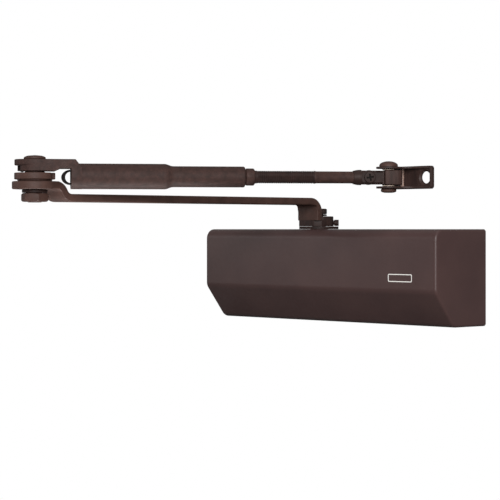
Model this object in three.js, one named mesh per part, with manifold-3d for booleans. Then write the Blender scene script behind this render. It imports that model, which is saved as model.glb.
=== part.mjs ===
// Surface-mounted door closer: a rack-and-pinion body on a mounting plate, under a clip-on cover,
// with a cranked main arm, a hold-open elbow and an adjustable forearm that ends in a frame shoe.
// Millimetres, +Z up, +X along the body, +Y into the door.
// The origin is the centre of the mounting plate's door-side face.
import * as THREE from 'three';
import { mergeVertices } from 'three/addons/utils/BufferGeometryUtils.js';
import Module from 'manifold-3d';

const wasm = await Module();
wasm.setup();

// ---- Driving dimensions -------------------------------------------------------------------------

const GAP = 0.3;                 // running and assembly gap between neighbouring pieces

const COVER = {
  length: 286,
  height: 81.6,
  front: -63.5,                  // Y of the front face
  back: -0.5,                    // Y of the open rear edge
  wall: 2.2,
  slopeRise: 29.4,               // height of the lower front slope
  slopeRun: 22.5,                // how far the slope runs back towards the door
  topRound: 8.5,
  kneeRound: 9,
  bottomRound: 9,
  endRound: 2.4,
  slotRadius: 18.6,
};
const COVER_TOP = COVER.height / 2;

const PLATE = { length: 277, height: 74, thickness: 3, corner: 6, tabDepth: 12, tabHeight: 30 };

const BODY = { left: -102.5, right: 113, half: 24, corner: 12, bore: 19, flangeHalf: 34 };
const FLANGE = { left: -92, right: 103, back: -PLATE.thickness - GAP, front: -9.3 };
const BODY_SCREW = { shank: 2.3, hole: 2.7, head: 4.2, headHeight: 4.5, x: [-84, 95], z: 29 };
const DOOR_HOLE = { radius: 3.2, x: 122, z: 26 };

const SPINDLE = { x: -24.3, y: -32.5, journal: 8, square: 12.4, bottom: -25.5, top: 51.6 };
const GEAR = { teeth: 11, module: 2, pressure: THREE.MathUtils.degToRad(25), half: 12 };
const PITCH_RADIUS = GEAR.teeth * GEAR.module / 2;
const ADDENDUM = 0.8 * GEAR.module;
const TOOTH_WIDTH = Math.PI * GEAR.module / 2 - 0.34;
const RACK_ROOT = PITCH_RADIUS + 2.5;

const PISTON = { left: -86.3, right: 6.7, radius: 18.6, noseLength: 5, noseRadius: 11.8 };
const WINDOW = { left: SPINDLE.x - 44.5, right: SPINDLE.x + 16.8, rear: 13.4 };

const CAP = { plug: 18.6, plugLength: 11.7, head: 19.8, headLength: 4.2, groove: 16.2 };
const SPRING = { mean: 15.3, wire: 2.4, coils: 8, end: 91.6 };
const SEAT = { left: 92, right: 98, radius: 18.4 };
const ADJUSTER = { radius: 5, left: 82, head: 7.8, headLength: 4.6 };
const VALVE = { offset: 16.8, radius: 3.2, length: 27, hole: 3.6, depth: 30, stem: 1.6 };

const ARM = {
  length: 312,
  width: 25.4,
  thickness: 6.2,
  hubRadius: 13.3,
  hubBottom: 43.4,
  hubTop: 49.1,
  bossRadius: 13,
  bossTop: 52.3,
  elbowRadius: 17.8,
  wallAt: 11.1,                  // distance of the riser's middle from the spindle axis
  barZ: 65.45,                   // mid-height of the long bar
  elbowZ: 75.15,                 // mid-height of the plate at the elbow
  joggle: [22.9, 17.3],          // how far back from the elbow the joggle starts and ends
  riserBend: 9.9,
  riserInner: 3,                 // the riser's bend is drawn tighter inside than outside
  joggleBend: 8,
};
// The hub's front corner on the clamp screw's side is cut off.
const HUB_FRONT = { x: 13.4, half: 12, facetStart: 8.2, facetHalf: 6.7 };
const ARM_WASHER = { bottom: ARM.bossTop + GAP, top: 54, radius: 7.1 };
const ARM_SCREW = { acrossFlats: 13, headHeight: 5, shank: 3.7, engaged: 14 };

// The clamp screw sits in the hub's edge; its turn is measured from +X.
const CLAMP = { turn: 45, z: 46.5, shank: 1.7, head: 2.8, headStart: 13.7, headEnd: 17.8, tip: 8.2 };

const ELBOW = { bolt: 6, headBottom: 95.7, headTop: 98.7, head: 8.6, bottom: 61.7 };
const FOREARM = {
  yaw: Math.atan2(0.8303, 0.5574),
  z: 82.3,                       // height of the forearm's centre line
  blockStart: 28,
  tubeStart: 36.5,
  tubeRadius: 10.05,
  neck: 103,
  sleeveStart: 107.5,
  sleeveRadius: 8.3,
  sleeveEnd: 166,
  bore: 5.5,
};
const LUG = {
  top: 95.4,
  bottom: 90.6,
  half: 13.4,
  shoulderHalf: FOREARM.tubeRadius + 0.1,
  rear: 15.8,                    // the plate reaches past the round deep part at its rear
  deepBottom: 86.2,
  deepEnd: 15.5,                 // the deep part rises here, clear of the tie loop
  reliefStart: 20,
  relief: 88.2,
};
const ROD = { start: 90, radius: 5.12, step: 223, thin: 4.8, end: 256 };
const COLLAR = { radius: 6.9, acrossFlats: 13.2, length: 7.3, chamfer: 0.9 };
const TILT_AT = 266.5;
const PIN_AT = 283;
const BLOCK_HALF = 5.9;
const EAR = { inner: 7.1, outer: 8.7, radius: 10 };
const SHOE = {
  left: -12,
  right: 34.4,
  half: 9.2,
  back: 16.5,                    // Y of the face that rests on the frame
  web: 2.5,
  rimFront: 9.6,
  endFront: 12.7,                // the rims and the end wall are shallow at the far end
  rim: 1.7,
  hole: 4.9,
  countersink: 6.4,
  sinkDepth: 1.2,
  holes: [26.5, -5],
  bead: { x: 2.2, radius: 1.6 },
};

// ---- Finishes -----------------------------------------------------------------------------------

const finish = (color, roughness, metalness) =>
  new THREE.MeshStandardMaterial({ color, roughness, metalness });
const BRONZE = finish(0x483a39, 0.45, 0.2);
const ARM_BRONZE = finish(0x46352f, 0.42, 0.3);
const DARK_BRONZE = finish(0x2b211e, 0.5, 0.3);
const CASTING = finish(0x8d8f92, 0.5, 0.8);
const STEEL = finish(0xa7a9ad, 0.35, 0.9);
const SPRING_STEEL = finish(0x55565c, 0.4, 0.9);
const BRASS = finish(0xb08d4a, 0.35, 0.9);
const RUBBER = finish(0x181818, 0.8, 0);
const NYLON = finish(0xd8d2c4, 0.5, 0);

// ---- Solids -------------------------------------------------------------------------------------

const X_AXIS = new THREE.Vector3(1, 0, 0);
const Y_AXIS = new THREE.Vector3(0, 1, 0);
const Z_AXIS = new THREE.Vector3(0, 0, 1);
const ALONG_X = new THREE.Matrix4().makeBasis(Y_AXIS, Z_AXIS, X_AXIS);
const ACROSS = new THREE.Matrix4().makeBasis(X_AXIS, Z_AXIS, Y_AXIS.clone().negate());

function signedVolume(position, faces) {
  const corner = [new THREE.Vector3(), new THREE.Vector3(), new THREE.Vector3()];
  let total = 0;
  for (let i = 0; i < faces.length; i += 3) {
    corner.forEach((point, k) => point.fromBufferAttribute(position, faces[i + k]));
    total += corner[0].dot(corner[1].cross(corner[2]));
  }
  return total;
}

// Turns a three.js geometry into a solid: shared corners merged, slivers dropped, faces outward.
function solid(geometry) {
  const bare = geometry.clone();
  bare.deleteAttribute('normal');
  bare.deleteAttribute('uv');
  const merged = mergeVertices(bare, 1e-4);
  const index = merged.index.array;
  const faces = [];
  for (let i = 0; i < index.length; i += 3) {
    const [a, b, c] = [index[i], index[i + 1], index[i + 2]];
    if (a !== b && b !== c && c !== a) faces.push(a, b, c);
  }
  if (signedVolume(merged.attributes.position, faces) < 0) faces.reverse();
  return new wasm.Manifold(new wasm.Mesh({
    numProp: 3,
    vertProperties: new Float32Array(merged.attributes.position.array),
    triVerts: new Uint32Array(faces),
  }));
}

function geometryOf(manifold) {
  const mesh = manifold.getMesh();
  const geometry = new THREE.BufferGeometry();
  geometry.setAttribute('position', new THREE.BufferAttribute(mesh.vertProperties, 3));
  geometry.setIndex(new THREE.BufferAttribute(mesh.triVerts, 1));
  return geometry;
}

const union = (first, ...rest) => rest.reduce((sum, part) => sum.add(part), first);
const cut = (first, ...tools) => tools.reduce((left, tool) => left.subtract(tool), first);

// A box given by its lowest and highest corners.
function box(low, high) {
  const size = high.map((value, k) => value - low[k]);
  const geometry = new THREE.BoxGeometry(...size);
  geometry.translate(...low.map((value, k) => value + size[k] / 2));
  return solid(geometry);
}

// An outline in X and Y, drawn up from one height to another.
function upright(shape, bottom, top, curveSegments = 4) {
  const depth = top - bottom;
  const geometry = new THREE.ExtrudeGeometry(shape, { depth, bevelEnabled: false, curveSegments });
  geometry.translate(0, 0, bottom);
  return solid(geometry);
}

// A side outline in X and Z, widened evenly either side of Y = 0.
function sideways(shape, width, curveSegments = 4) {
  const geometry = new THREE.ExtrudeGeometry(
    shape, { depth: width, bevelEnabled: false, curveSegments });
  geometry.translate(0, 0, -width / 2);
  geometry.applyMatrix4(ACROSS);
  return solid(geometry);
}

// A profile of [radius, height] corners turned about the Z axis.
function turned(profile, segments = 24) {
  const points = profile.map(([radius, height]) => new THREE.Vector2(radius, height));
  const geometry = new THREE.LatheGeometry(points, segments);
  geometry.rotateX(Math.PI / 2);
  return solid(geometry);
}

const rod = (radius, bottom, top, segments = 24) =>
  turned([[0, bottom], [radius, bottom], [radius, top], [0, top]], segments);

const ring = (inner, outer, bottom, top, segments = 24) =>
  turned([[inner, bottom], [outer, bottom], [outer, top], [inner, top], [inner, bottom]], segments);

// Lays a solid that stands on Z along +X, starting at the given point.
const layAlongX = (part, x, y, z) => part.rotate([0, 90, 0]).translate([x, y, z]);

function polygon(sides, acrossFlats, turn = 0) {
  const radius = acrossFlats / 2 / Math.cos(Math.PI / sides);
  const shape = new THREE.Shape();
  for (let i = 0; i < sides; i += 1) {
    const angle = turn + 2 * Math.PI * i / sides;
    const [x, y] = [radius * Math.cos(angle), radius * Math.sin(angle)];
    if (i === 0) shape.moveTo(x, y);
    else shape.lineTo(x, y);
  }
  shape.closePath();
  return shape;
}

function roundedRectangle(left, bottom, right, top, radius) {
  const shape = new THREE.Shape();
  shape.moveTo(left + radius, bottom);
  shape.lineTo(right - radius, bottom);
  shape.absarc(right - radius, bottom + radius, radius, -Math.PI / 2, 0);
  shape.lineTo(right, top - radius);
  shape.absarc(right - radius, top - radius, radius, 0, Math.PI / 2);
  shape.lineTo(left + radius, top);
  shape.absarc(left + radius, top - radius, radius, Math.PI / 2, Math.PI);
  shape.lineTo(left, bottom + radius);
  shape.absarc(left + radius, bottom + radius, radius, Math.PI, 1.5 * Math.PI);
  return shape;
}

// Corner points joined by straight runs, with each corner rounded by its own radius.
function roundedPath(corners, closed, steps = 6) {
  const path = [];
  const count = corners.length;
  corners.forEach(({ x, y, radius = 0 }, i) => {
    const here = new THREE.Vector2(x, y);
    const isEnd = !closed && (i === 0 || i === count - 1);
    if (radius === 0 || isEnd) {
      path.push(here);
      return;
    }
    const before = corners[(i + count - 1) % count];
    const after = corners[(i + 1) % count];
    const toBefore = new THREE.Vector2(before.x - x, before.y - y).normalize();
    const toAfter = new THREE.Vector2(after.x - x, after.y - y).normalize();
    const halfAngle = Math.acos(toBefore.dot(toAfter)) / 2;
    const middle = toBefore.clone().add(toAfter).normalize();
    const centre = here.clone().addScaledVector(middle, radius / Math.sin(halfAngle));
    const start = here.clone().addScaledVector(toBefore, radius / Math.tan(halfAngle)).sub(centre);
    const end = here.clone().addScaledVector(toAfter, radius / Math.tan(halfAngle)).sub(centre);
    const sweep = Math.atan2(start.cross(end), start.dot(end));
    for (let step = 0; step <= steps; step += 1) {
      path.push(start.clone().rotateAround(new THREE.Vector2(), sweep * step / steps).add(centre));
    }
  });
  return path;
}

// A flat bar bent along a centre line, seen from the side. Each bend has its own centre-line
// radius, and may name a tighter inner radius.
function bentBar(centreLine, thickness) {
  const corners = centreLine.map(({ x, y }) => new THREE.Vector2(x, y));
  const normals = corners.slice(1).map((corner, i) => {
    const along = corner.clone().sub(corners[i]).normalize();
    return new THREE.Vector2(-along.y, along.x);
  });
  const sides = [1, -1].map((side) => roundedPath(corners.map((corner, i) => {
    const before = normals[Math.max(i - 1, 0)];
    const after = normals[Math.min(i, normals.length - 1)];
    const reach = side * thickness / 2 / (1 + before.dot(after));
    const { x, y } = corner.clone().addScaledVector(before.clone().add(after), reach);
    const { radius = 0, inner = radius - thickness / 2 } = centreLine[i];
    const isInner = side * before.cross(after) > 0;
    return { x, y, radius: isInner ? inner : radius + thickness / 2 };
  }), false));
  return new THREE.Shape([...sides[0], ...sides[1].reverse()]);
}

// ---- Scene --------------------------------------------------------------------------------------

const closer = new THREE.Group();
const atSpindle = new THREE.Group();
atSpindle.position.set(SPINDLE.x, SPINDLE.y, 0);
const atElbow = new THREE.Group();
atElbow.position.set(SPINDLE.x, SPINDLE.y - ARM.length, 0);
const forearm = new THREE.Group();
forearm.rotation.z = FOREARM.yaw;
const forearmAxis = new THREE.Group();
forearmAxis.position.z = FOREARM.z;
const atPin = new THREE.Group();
atPin.position.set(PIN_AT, 0, 0);
atPin.rotation.z = -FOREARM.yaw;
closer.add(atSpindle, atElbow);
atElbow.add(forearm);
forearm.add(forearmAxis);
forearmAxis.add(atPin);

function add(group, name, part, material) {
  const mesh = new THREE.Mesh(geometryOf(part), material);
  mesh.name = name;
  group.add(mesh);
}

// ---- Mounting plate and cover -------------------------------------------------------------------

function mountingPlate() {
  const [halfLength, halfHeight] = [PLATE.length / 2, PLATE.height / 2];
  const outline = roundedRectangle(-halfLength, -halfHeight, halfLength, halfHeight, PLATE.corner);
  const sheet = sideways(outline, PLATE.thickness, 2).translate([0, -PLATE.thickness / 2, 0]);
  const halfTab = PLATE.tabHeight / 2;
  const tabs = [-1, 1].map((side) => box(
    [side > 0 ? halfLength - 2 : -halfLength, -PLATE.tabDepth, -halfTab],
    [side > 0 ? halfLength : 2 - halfLength, -PLATE.thickness + 0.5, halfTab]));
  const hole = (radius, x, z) => rod(radius, -5, 5, 20).rotate([90, 0, 0]).translate([x, 0, z]);
  const doorHoles = [-1, 1].flatMap((side) => [-1, 1].map((level) =>
    hole(DOOR_HOLE.radius, side * DOOR_HOLE.x, level * DOOR_HOLE.z)));
  const tappedHoles = BODY_SCREW.x.flatMap((x) => [-1, 1].map((level) =>
    hole(BODY_SCREW.hole, x, level * BODY_SCREW.z)));
  return cut(union(sheet, ...tabs), ...doorHoles, ...tappedHoles);
}

// The cover's section in Y and Z, brought in from the outside by an even amount.
function coverSection(inset) {
  const slopeAngle = Math.atan2(COVER.slopeRise, COVER.slopeRun);
  const kneeZ = -COVER_TOP + COVER.slopeRise + inset * Math.tan((Math.PI / 2 - slopeAngle) / 2);
  const front = COVER.front + inset;
  const bottom = -COVER_TOP + inset;
  const footY = front + (kneeZ - bottom) / Math.tan(slopeAngle);
  const back = inset > 0 ? COVER.back + 5 : COVER.back;
  const corners = [
    { x: back, y: COVER_TOP - inset },
    { x: front, y: COVER_TOP - inset, radius: COVER.topRound - inset },
    { x: front, y: kneeZ, radius: COVER.kneeRound - inset },
    { x: footY, y: bottom, radius: COVER.bottomRound - inset },
    { x: back, y: bottom },
  ];
  return new THREE.Shape(roundedPath(corners, true));
}

function coverShell() {
  const straight = COVER.length - 2 * COVER.endRound;
  const outside = new THREE.ExtrudeGeometry(coverSection(0), {
    depth: straight,
    bevelThickness: COVER.endRound,
    bevelSize: COVER.endRound,
    bevelOffset: -COVER.endRound,
    bevelSegments: 3,
  });
  outside.translate(0, 0, -straight / 2);
  outside.applyMatrix4(ALONG_X);
  const hollowLength = COVER.length - 2 * COVER.wall;
  const hollow = new THREE.ExtrudeGeometry(
    coverSection(COVER.wall), { depth: hollowLength, bevelEnabled: false });
  hollow.translate(0, 0, -hollowLength / 2);
  hollow.applyMatrix4(ALONG_X);
  const squareBack = box([-COVER.length, COVER.back, -COVER.height], [COVER.length, 20, COVER.height]);
  const slotTop = COVER_TOP + 5;
  const slot = union(
    rod(COVER.slotRadius, 20, slotTop, 30).translate([SPINDLE.x, SPINDLE.y, 0]),
    box(
      [SPINDLE.x - COVER.slotRadius, SPINDLE.y, 20],
      [SPINDLE.x + COVER.slotRadius, 10, slotTop]));
  return cut(solid(outside), solid(hollow), squareBack, slot);
}

add(closer, 'mounting_plate', mountingPlate(), STEEL);
add(closer, 'cover_shell', coverShell(), BRONZE);

// ---- Closer body and its fixed inner parts ------------------------------------------------------

const alongBore = (part, x) => layAlongX(part, x, SPINDLE.y, 0);
const onSpindle = (part) => part.translate([SPINDLE.x, SPINDLE.y, 0]);

const TOP_BOSS = { radius: 17, top: COVER_TOP - 0.5 };
const LOW_BOSS = { radius: 13, bottom: -30.4 };
const VALVE_PLACES = [
  [-VALVE.offset, VALVE.offset],
  [-VALVE.offset, -VALVE.offset],
  [VALVE.offset, VALVE.offset],
];
const UPPER_BEARING = { inner: 8.3, outer: 12, bottom: 20.5, top: 30.5 };
const LOWER_BEARING = { inner: 8.3, outer: 10.6, bottom: -25.6, top: -19.6 };
const SEAL = { bottom: 30.8, top: 34.8 };
const GLAND = { outer: 14, bottom: 35.4, top: 40.1 };

function closerBody() {
  const { left, right, half, corner, bore, flangeHalf } = BODY;
  const section = roundedRectangle(SPINDLE.y - half, -half, SPINDLE.y + half, half, corner);
  const length = right - left;
  const barrel = new THREE.ExtrudeGeometry(
    section, { depth: length, bevelEnabled: false, curveSegments: 3 });
  barrel.translate(0, 0, left);
  barrel.applyMatrix4(ALONG_X);
  const flange = box(
    [FLANGE.left, FLANGE.front, -flangeHalf], [FLANGE.right, FLANGE.back, flangeHalf]);
  const bosses = [
    onSpindle(rod(TOP_BOSS.radius, 15, TOP_BOSS.top, 30)),
    onSpindle(rod(LOW_BOSS.radius, LOW_BOSS.bottom, -15, 24)),
  ];
  const seatOuter = UPPER_BEARING.outer + GAP;
  const bores = [
    alongBore(rod(bore, 0, length + 2, 30), left - 1),
    onSpindle(rod(seatOuter, 0, GLAND.bottom - 0.2, 24)),
    onSpindle(rod(GLAND.outer + GAP, GLAND.bottom - 0.3, TOP_BOSS.top + 1, 24)),
    onSpindle(rod(LOWER_BEARING.outer + GAP, LOW_BOSS.bottom - 1, 0, 24)),
  ];
  const valveHoles = VALVE_PLACES.map(([y, z]) =>
    layAlongX(rod(VALVE.hole, 0, VALVE.depth + 1, 20), left - 1, SPINDLE.y + y, z));
  const screwHoles = BODY_SCREW.x.flatMap((x) => [-1, 1].map((level) =>
    rod(BODY_SCREW.hole, 0, 20, 20).rotate([90, 0, 0]).translate([x, 0, level * BODY_SCREW.z])));
  return cut(union(solid(barrel), flange, ...bosses), ...bores, ...valveHoles, ...screwHoles);
}

// The four body screws clamp the casting's flange to the plate.
function bodyScrew(x, z) {
  const headTop = FLANGE.front - GAP;
  const shankEnd = -0.6;
  const shank = turned([
    [0, 0], [BODY_SCREW.shank, 0], [BODY_SCREW.shank, shankEnd - headTop],
    [BODY_SCREW.head, shankEnd - headTop], [BODY_SCREW.head, shankEnd - headTop + BODY_SCREW.headHeight],
    [0, shankEnd - headTop + BODY_SCREW.headHeight],
  ], 20);
  const socketBottom = shankEnd - headTop + 2;
  const socket = upright(polygon(6, 4), socketBottom, socketBottom + 5);
  return cut(shank, socket).rotate([90, 0, 0]).translate([x, shankEnd, z]);
}

// A plug that closes one end of the bore, with a groove for its seal and a hexagon recess.
function endCap(throughHole) {
  const { plug, plugLength, head, headLength, groove } = CAP;
  const cap = turned([
    [0, 0], [plug, 0], [plug, 4], [groove, 4], [groove, 8.4], [plug, 8.4], [plug, plugLength + GAP],
    [head, plugLength + GAP], [head, plugLength + GAP + headLength - 1],
    [head - 1, plugLength + GAP + headLength], [0, plugLength + GAP + headLength],
  ], 30);
  return throughHole
    ? cut(cap, rod(throughHole, -1, 30, 24))
    : cut(cap, upright(polygon(6, 12), plugLength - 1, 30));
}

const capSeal = () => turned([
  [CAP.groove + GAP, 0], [CAP.plug, 0.4], [CAP.plug, 3.4], [CAP.groove + GAP, 3.8],
  [CAP.groove + GAP, 0],
], 30);

function springSeat() {
  const length = SEAT.right - SEAT.left;
  const seat = turned([
    [ADJUSTER.radius + GAP, -4], [11.8, -4], [11.8, 0], [SEAT.radius, 0], [SEAT.radius, length],
    [ADJUSTER.radius + GAP, length], [ADJUSTER.radius + GAP, -4],
  ], 24);
  return alongBore(seat, SEAT.left);
}

class Helix extends THREE.Curve {
  constructor(radius, height, coils) {
    super();
    Object.assign(this, { radius, height, coils });
  }

  getPoint(t, target = new THREE.Vector3()) {
    const angle = 2 * Math.PI * this.coils * t;
    const rise = t - Math.sin(2 * Math.PI * t) / (2 * Math.PI) * 0.35;
    return target.set(
      this.radius * Math.cos(angle), this.radius * Math.sin(angle), this.height * rise);
  }
}

function mainSpring() {
  const start = PISTON.right + GAP + SPRING.wire;
  const path = new Helix(SPRING.mean, SPRING.end - SPRING.wire - start, SPRING.coils);
  const wire = new THREE.Shape().absarc(0, 0, SPRING.wire, 0, 2 * Math.PI);
  const geometry = new THREE.ExtrudeGeometry(
    wire, { steps: SPRING.coils * 10, extrudePath: path, curveSegments: 3, bevelEnabled: false });
  return alongBore(solid(geometry), start);
}

function gland() {
  const body = ring(SPINDLE.journal + 0.4, GLAND.outer, GLAND.bottom, GLAND.top, 24);
  const spannerHoles = [0, 180].map((turn) =>
    rod(1.2, GLAND.top - 2.5, GLAND.top + 1, 12).translate([11.2, 0, 0]).rotate([0, 0, turn]));
  return onSpindle(cut(body, ...spannerHoles));
}

function lowerPlug() {
  const bottom = LOW_BOSS.bottom;
  const plug = rod(LOWER_BEARING.outer, bottom, LOWER_BEARING.bottom - GAP, 24);
  return onSpindle(cut(plug, upright(polygon(6, 8), bottom - 1, bottom + 2.6)));
}

add(closer, 'closer_body', closerBody(), CASTING);
BODY_SCREW.x.forEach((x, side) => [1, -1].forEach((level, row) => {
  add(closer, `body_screw_${2 * side + row + 1}`, bodyScrew(x, level * BODY_SCREW.z), STEEL);
}));
const leftCapStart = BODY.left + CAP.plugLength;
const rightCapStart = BODY.right - CAP.plugLength;
add(closer, 'left_end_cap',
  endCap(0).rotate([0, -90, 0]).translate([leftCapStart, SPINDLE.y, 0]), STEEL);
add(closer, 'left_cap_seal', alongBore(capSeal(), leftCapStart - 8.1), RUBBER);
add(closer, 'right_end_cap', alongBore(endCap(ADJUSTER.radius + GAP), rightCapStart), STEEL);
add(closer, 'right_cap_seal', alongBore(capSeal(), rightCapStart + 4.3), RUBBER);
add(closer, 'spring_seat', springSeat(), STEEL);
add(closer, 'main_spring', mainSpring(), SPRING_STEEL);
add(closer, 'upper_bearing', onSpindle(ring(
  UPPER_BEARING.inner, UPPER_BEARING.outer, UPPER_BEARING.bottom, UPPER_BEARING.top)), STEEL);
add(closer, 'lower_bearing', onSpindle(ring(
  LOWER_BEARING.inner, LOWER_BEARING.outer, LOWER_BEARING.bottom, LOWER_BEARING.top)), STEEL);
add(closer, 'spindle_seal', onSpindle(ring(
  UPPER_BEARING.inner, UPPER_BEARING.outer, SEAL.bottom, SEAL.top)), RUBBER);
add(closer, 'upper_gland', gland(), BRASS);
add(closer, 'lower_plug', lowerPlug(), BRASS);

// ---- Adjusting screws ---------------------------------------------------------------------------

// A needle valve: a threaded barrel with a slotted head, a neck and a pointed stem.
function valve() {
  const { radius, length, stem } = VALVE;
  const needle = turned([
    [0, length], [stem, length - 3], [stem, length - 9], [radius, length - 11],
    [radius, 6], [radius - 0.9, 6], [radius - 0.9, 4], [radius, 4], [radius, 0], [0, 0],
  ], 20);
  return cut(needle, box([-5, -0.5, -1], [5, 0.5, 1.6]));
}

['closing_valve', 'latching_valve', 'backcheck_valve'].forEach((name, i) => {
  const [y, z] = VALVE_PLACES[i];
  add(closer, name, layAlongX(valve(), BODY.left + 0.8, SPINDLE.y + y, z), BRASS);
});

function springAdjuster() {
  const headStart = rightCapStart + CAP.plugLength + 2 * GAP + CAP.headLength - ADJUSTER.left;
  const screw = turned([
    [0, 0], [ADJUSTER.radius, 0], [ADJUSTER.radius, headStart], [ADJUSTER.head, headStart],
    [ADJUSTER.head, headStart + ADJUSTER.headLength], [0, headStart + ADJUSTER.headLength],
  ], 24);
  const socket = upright(polygon(6, 6), headStart, headStart + 10);
  return alongBore(cut(screw, socket), ADJUSTER.left);
}

add(closer, 'spring_adjuster', springAdjuster(), STEEL);

// ---- Rack piston and pinion ---------------------------------------------------------------------

function rackTooth(centre) {
  const widthAt = (height) => TOOTH_WIDTH / 2 - height * Math.tan(GEAR.pressure);
  const tip = -PITCH_RADIUS + ADDENDUM;
  const root = -RACK_ROOT - 0.5;
  const rootHalf = widthAt(-(RACK_ROOT + 0.5 - PITCH_RADIUS));
  const tipHalf = widthAt(ADDENDUM);
  const shape = new THREE.Shape([
    new THREE.Vector2(centre - rootHalf, root),
    new THREE.Vector2(centre + rootHalf, root),
    new THREE.Vector2(centre + tipHalf, tip),
    new THREE.Vector2(centre - tipHalf, tip),
  ]);
  return upright(shape, -11, 11).translate([0, SPINDLE.y, 0]);
}

function rackPiston() {
  const { left, right, radius, noseLength, noseRadius } = PISTON;
  const length = right - left;
  const body = turned([
    [0, 0], [radius - 1, 0], [radius, 1], [radius, length - 1], [radius - 1, length],
    [noseRadius, length], [noseRadius, length + noseLength], [0, length + noseLength],
  ], 30);
  const window = box(
    [WINDOW.left, SPINDLE.y - RACK_ROOT, -30], [WINDOW.right, SPINDLE.y + WINDOW.rear, 30]);
  const checkPocket = alongBore(rod(4.2, -1, 12, 24), left);
  const checkPassage = alongBore(rod(1.6, 0, 25, 12), left);
  const pitch = Math.PI * GEAR.module;
  const teeth = [];
  for (let k = -7; k <= 1; k += 1) teeth.push(rackTooth(SPINDLE.x + (k + 0.5) * pitch));
  const relieved = cut(alongBore(body, left), window, checkPocket, checkPassage);
  return union(relieved, ...teeth);
}

// Involute teeth, with one tooth pointing at the rack.
function gearShape() {
  const base = PITCH_RADIUS * Math.cos(GEAR.pressure);
  const involute = (radius) => {
    const angle = Math.acos(Math.min(base / radius, 1));
    return Math.tan(angle) - angle;
  };
  const pitchHalf = TOOTH_WIDTH / 2 / PITCH_RADIUS;
  const halfAngle = (radius) =>
    pitchHalf + involute(PITCH_RADIUS) - involute(Math.max(radius, base));
  const root = PITCH_RADIUS - ADDENDUM - 1;
  const tip = PITCH_RADIUS + ADDENDUM;
  const flank = [root, base, ...[0.25, 0.5, 0.75, 1].map((t) => base + t * (tip - base))];
  const points = [];
  for (let tooth = 0; tooth < GEAR.teeth; tooth += 1) {
    const middle = -Math.PI / 2 + 2 * Math.PI * tooth / GEAR.teeth;
    const rise = flank.map((radius) => [radius, middle - halfAngle(radius)]);
    const fall = flank.map((radius) => [radius, middle + halfAngle(radius)]).reverse();
    [...rise, ...fall].forEach(([radius, angle]) => {
      points.push(new THREE.Vector2(radius * Math.cos(angle), radius * Math.sin(angle)));
    });
  }
  return new THREE.Shape(points);
}

function pinionSpindle() {
  const { journal, square, bottom, top } = SPINDLE;
  const squareStart = ARM.hubBottom - 0.2;
  const shaft = turned([
    [0, bottom], [journal - 0.8, bottom], [journal, bottom + 0.8], [journal, squareStart],
    [0, squareStart],
  ], 24);
  const teeth = upright(gearShape(), -GEAR.half, GEAR.half);
  const driver = upright(polygon(4, square, 0), squareStart - 0.1, top);
  return cut(union(shaft, teeth, driver), rod(4, top - 16, top + 1, 20));
}

add(closer, 'rack_piston', rackPiston(), STEEL);
add(closer, 'check_ball',
  solid(new THREE.SphereGeometry(3.4, 12, 8)).translate([PISTON.left + 6, SPINDLE.y, 0]), STEEL);
add(atSpindle, 'pinion_spindle', pinionSpindle(), STEEL);
const DUST_RING = { bore: SPINDLE.journal + 0.4, radius: 17.6, height: 2.2 };
add(atSpindle, 'dust_ring', turned([
  [DUST_RING.bore, COVER_TOP + 0.2], [DUST_RING.radius, COVER_TOP + 0.2],
  [DUST_RING.radius, COVER_TOP + DUST_RING.height - 0.3],
  [DUST_RING.radius - 0.3, COVER_TOP + DUST_RING.height],
  [DUST_RING.bore, COVER_TOP + DUST_RING.height], [DUST_RING.bore, COVER_TOP + 0.2],
], 30), DARK_BRONZE);

// ---- Main arm -----------------------------------------------------------------------------------

// The hub under the riser, round at the back, with one of its front corners cut off.
function hubOutline() {
  const { x, half, facetStart, facetHalf } = HUB_FRONT;
  const shape = new THREE.Shape();
  shape.absarc(0, 0, ARM.hubRadius, Math.PI / 2, 1.5 * Math.PI);
  shape.lineTo(x - 1, -half);
  shape.lineTo(x, 1 - half);
  shape.lineTo(x, facetHalf);
  shape.lineTo(facetStart, half);
  return shape;
}

// The bar's outline from above: even in width, then flared to the elbow plate.
function armOutline() {
  const { length, width, elbowRadius } = ARM;
  const half = width / 2;
  return new THREE.Shape([
    new THREE.Vector2(0, -half),
    new THREE.Vector2(length - 17, -half),
    new THREE.Vector2(length - 8, 2 - elbowRadius),
    new THREE.Vector2(length, 1 - elbowRadius),
    new THREE.Vector2(length, elbowRadius - 1),
    new THREE.Vector2(length - 8, elbowRadius - 2),
    new THREE.Vector2(length - 17, half),
    new THREE.Vector2(0, half),
  ]);
}

// The arm runs towards -Y; it is drawn along +X and then turned.
function mainArm() {
  const { length, thickness, elbowRadius, wallAt, barZ, elbowZ, joggle, joggleBend } = ARM;
  const side = bentBar([
    { x: wallAt, y: ARM.hubTop - 0.4 },
    { x: wallAt, y: barZ, radius: ARM.riserBend, inner: ARM.riserInner },
    { x: length - joggle[0], y: barZ, radius: joggleBend },
    { x: length - joggle[1], y: elbowZ, radius: joggleBend },
    { x: length + 30, y: elbowZ },
  ], thickness);
  const plan = union(
    upright(armOutline(), 0, 100), rod(elbowRadius, 0, 100, 30).translate([length, 0, 0]));
  const bar = sideways(side, 50).intersect(plan);
  const hub = upright(hubOutline(), ARM.hubBottom, ARM.hubTop, 14);
  const boss = rod(ARM.bossRadius, ARM.hubTop - 1, ARM.bossTop, 36)
    .intersect(box([-20, -20, 0], [wallAt, 20, 100]));
  const squareHole = upright(polygon(4, SPINDLE.square + 2 * GAP), 30, 60);
  const boltHole = rod(ELBOW.bolt + GAP, 60, 90, 24).translate([length, 0, 0]);
  const clampHole = rod(CLAMP.shank + GAP, 7, 30, 16).rotate([0, 90, 0])
    .rotate([0, 0, CLAMP.turn + 90]).translate([0, 0, CLAMP.z]);
  return cut(union(bar, hub, boss), squareHole, boltHole, clampHole).rotate([0, 0, -90]);
}

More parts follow.
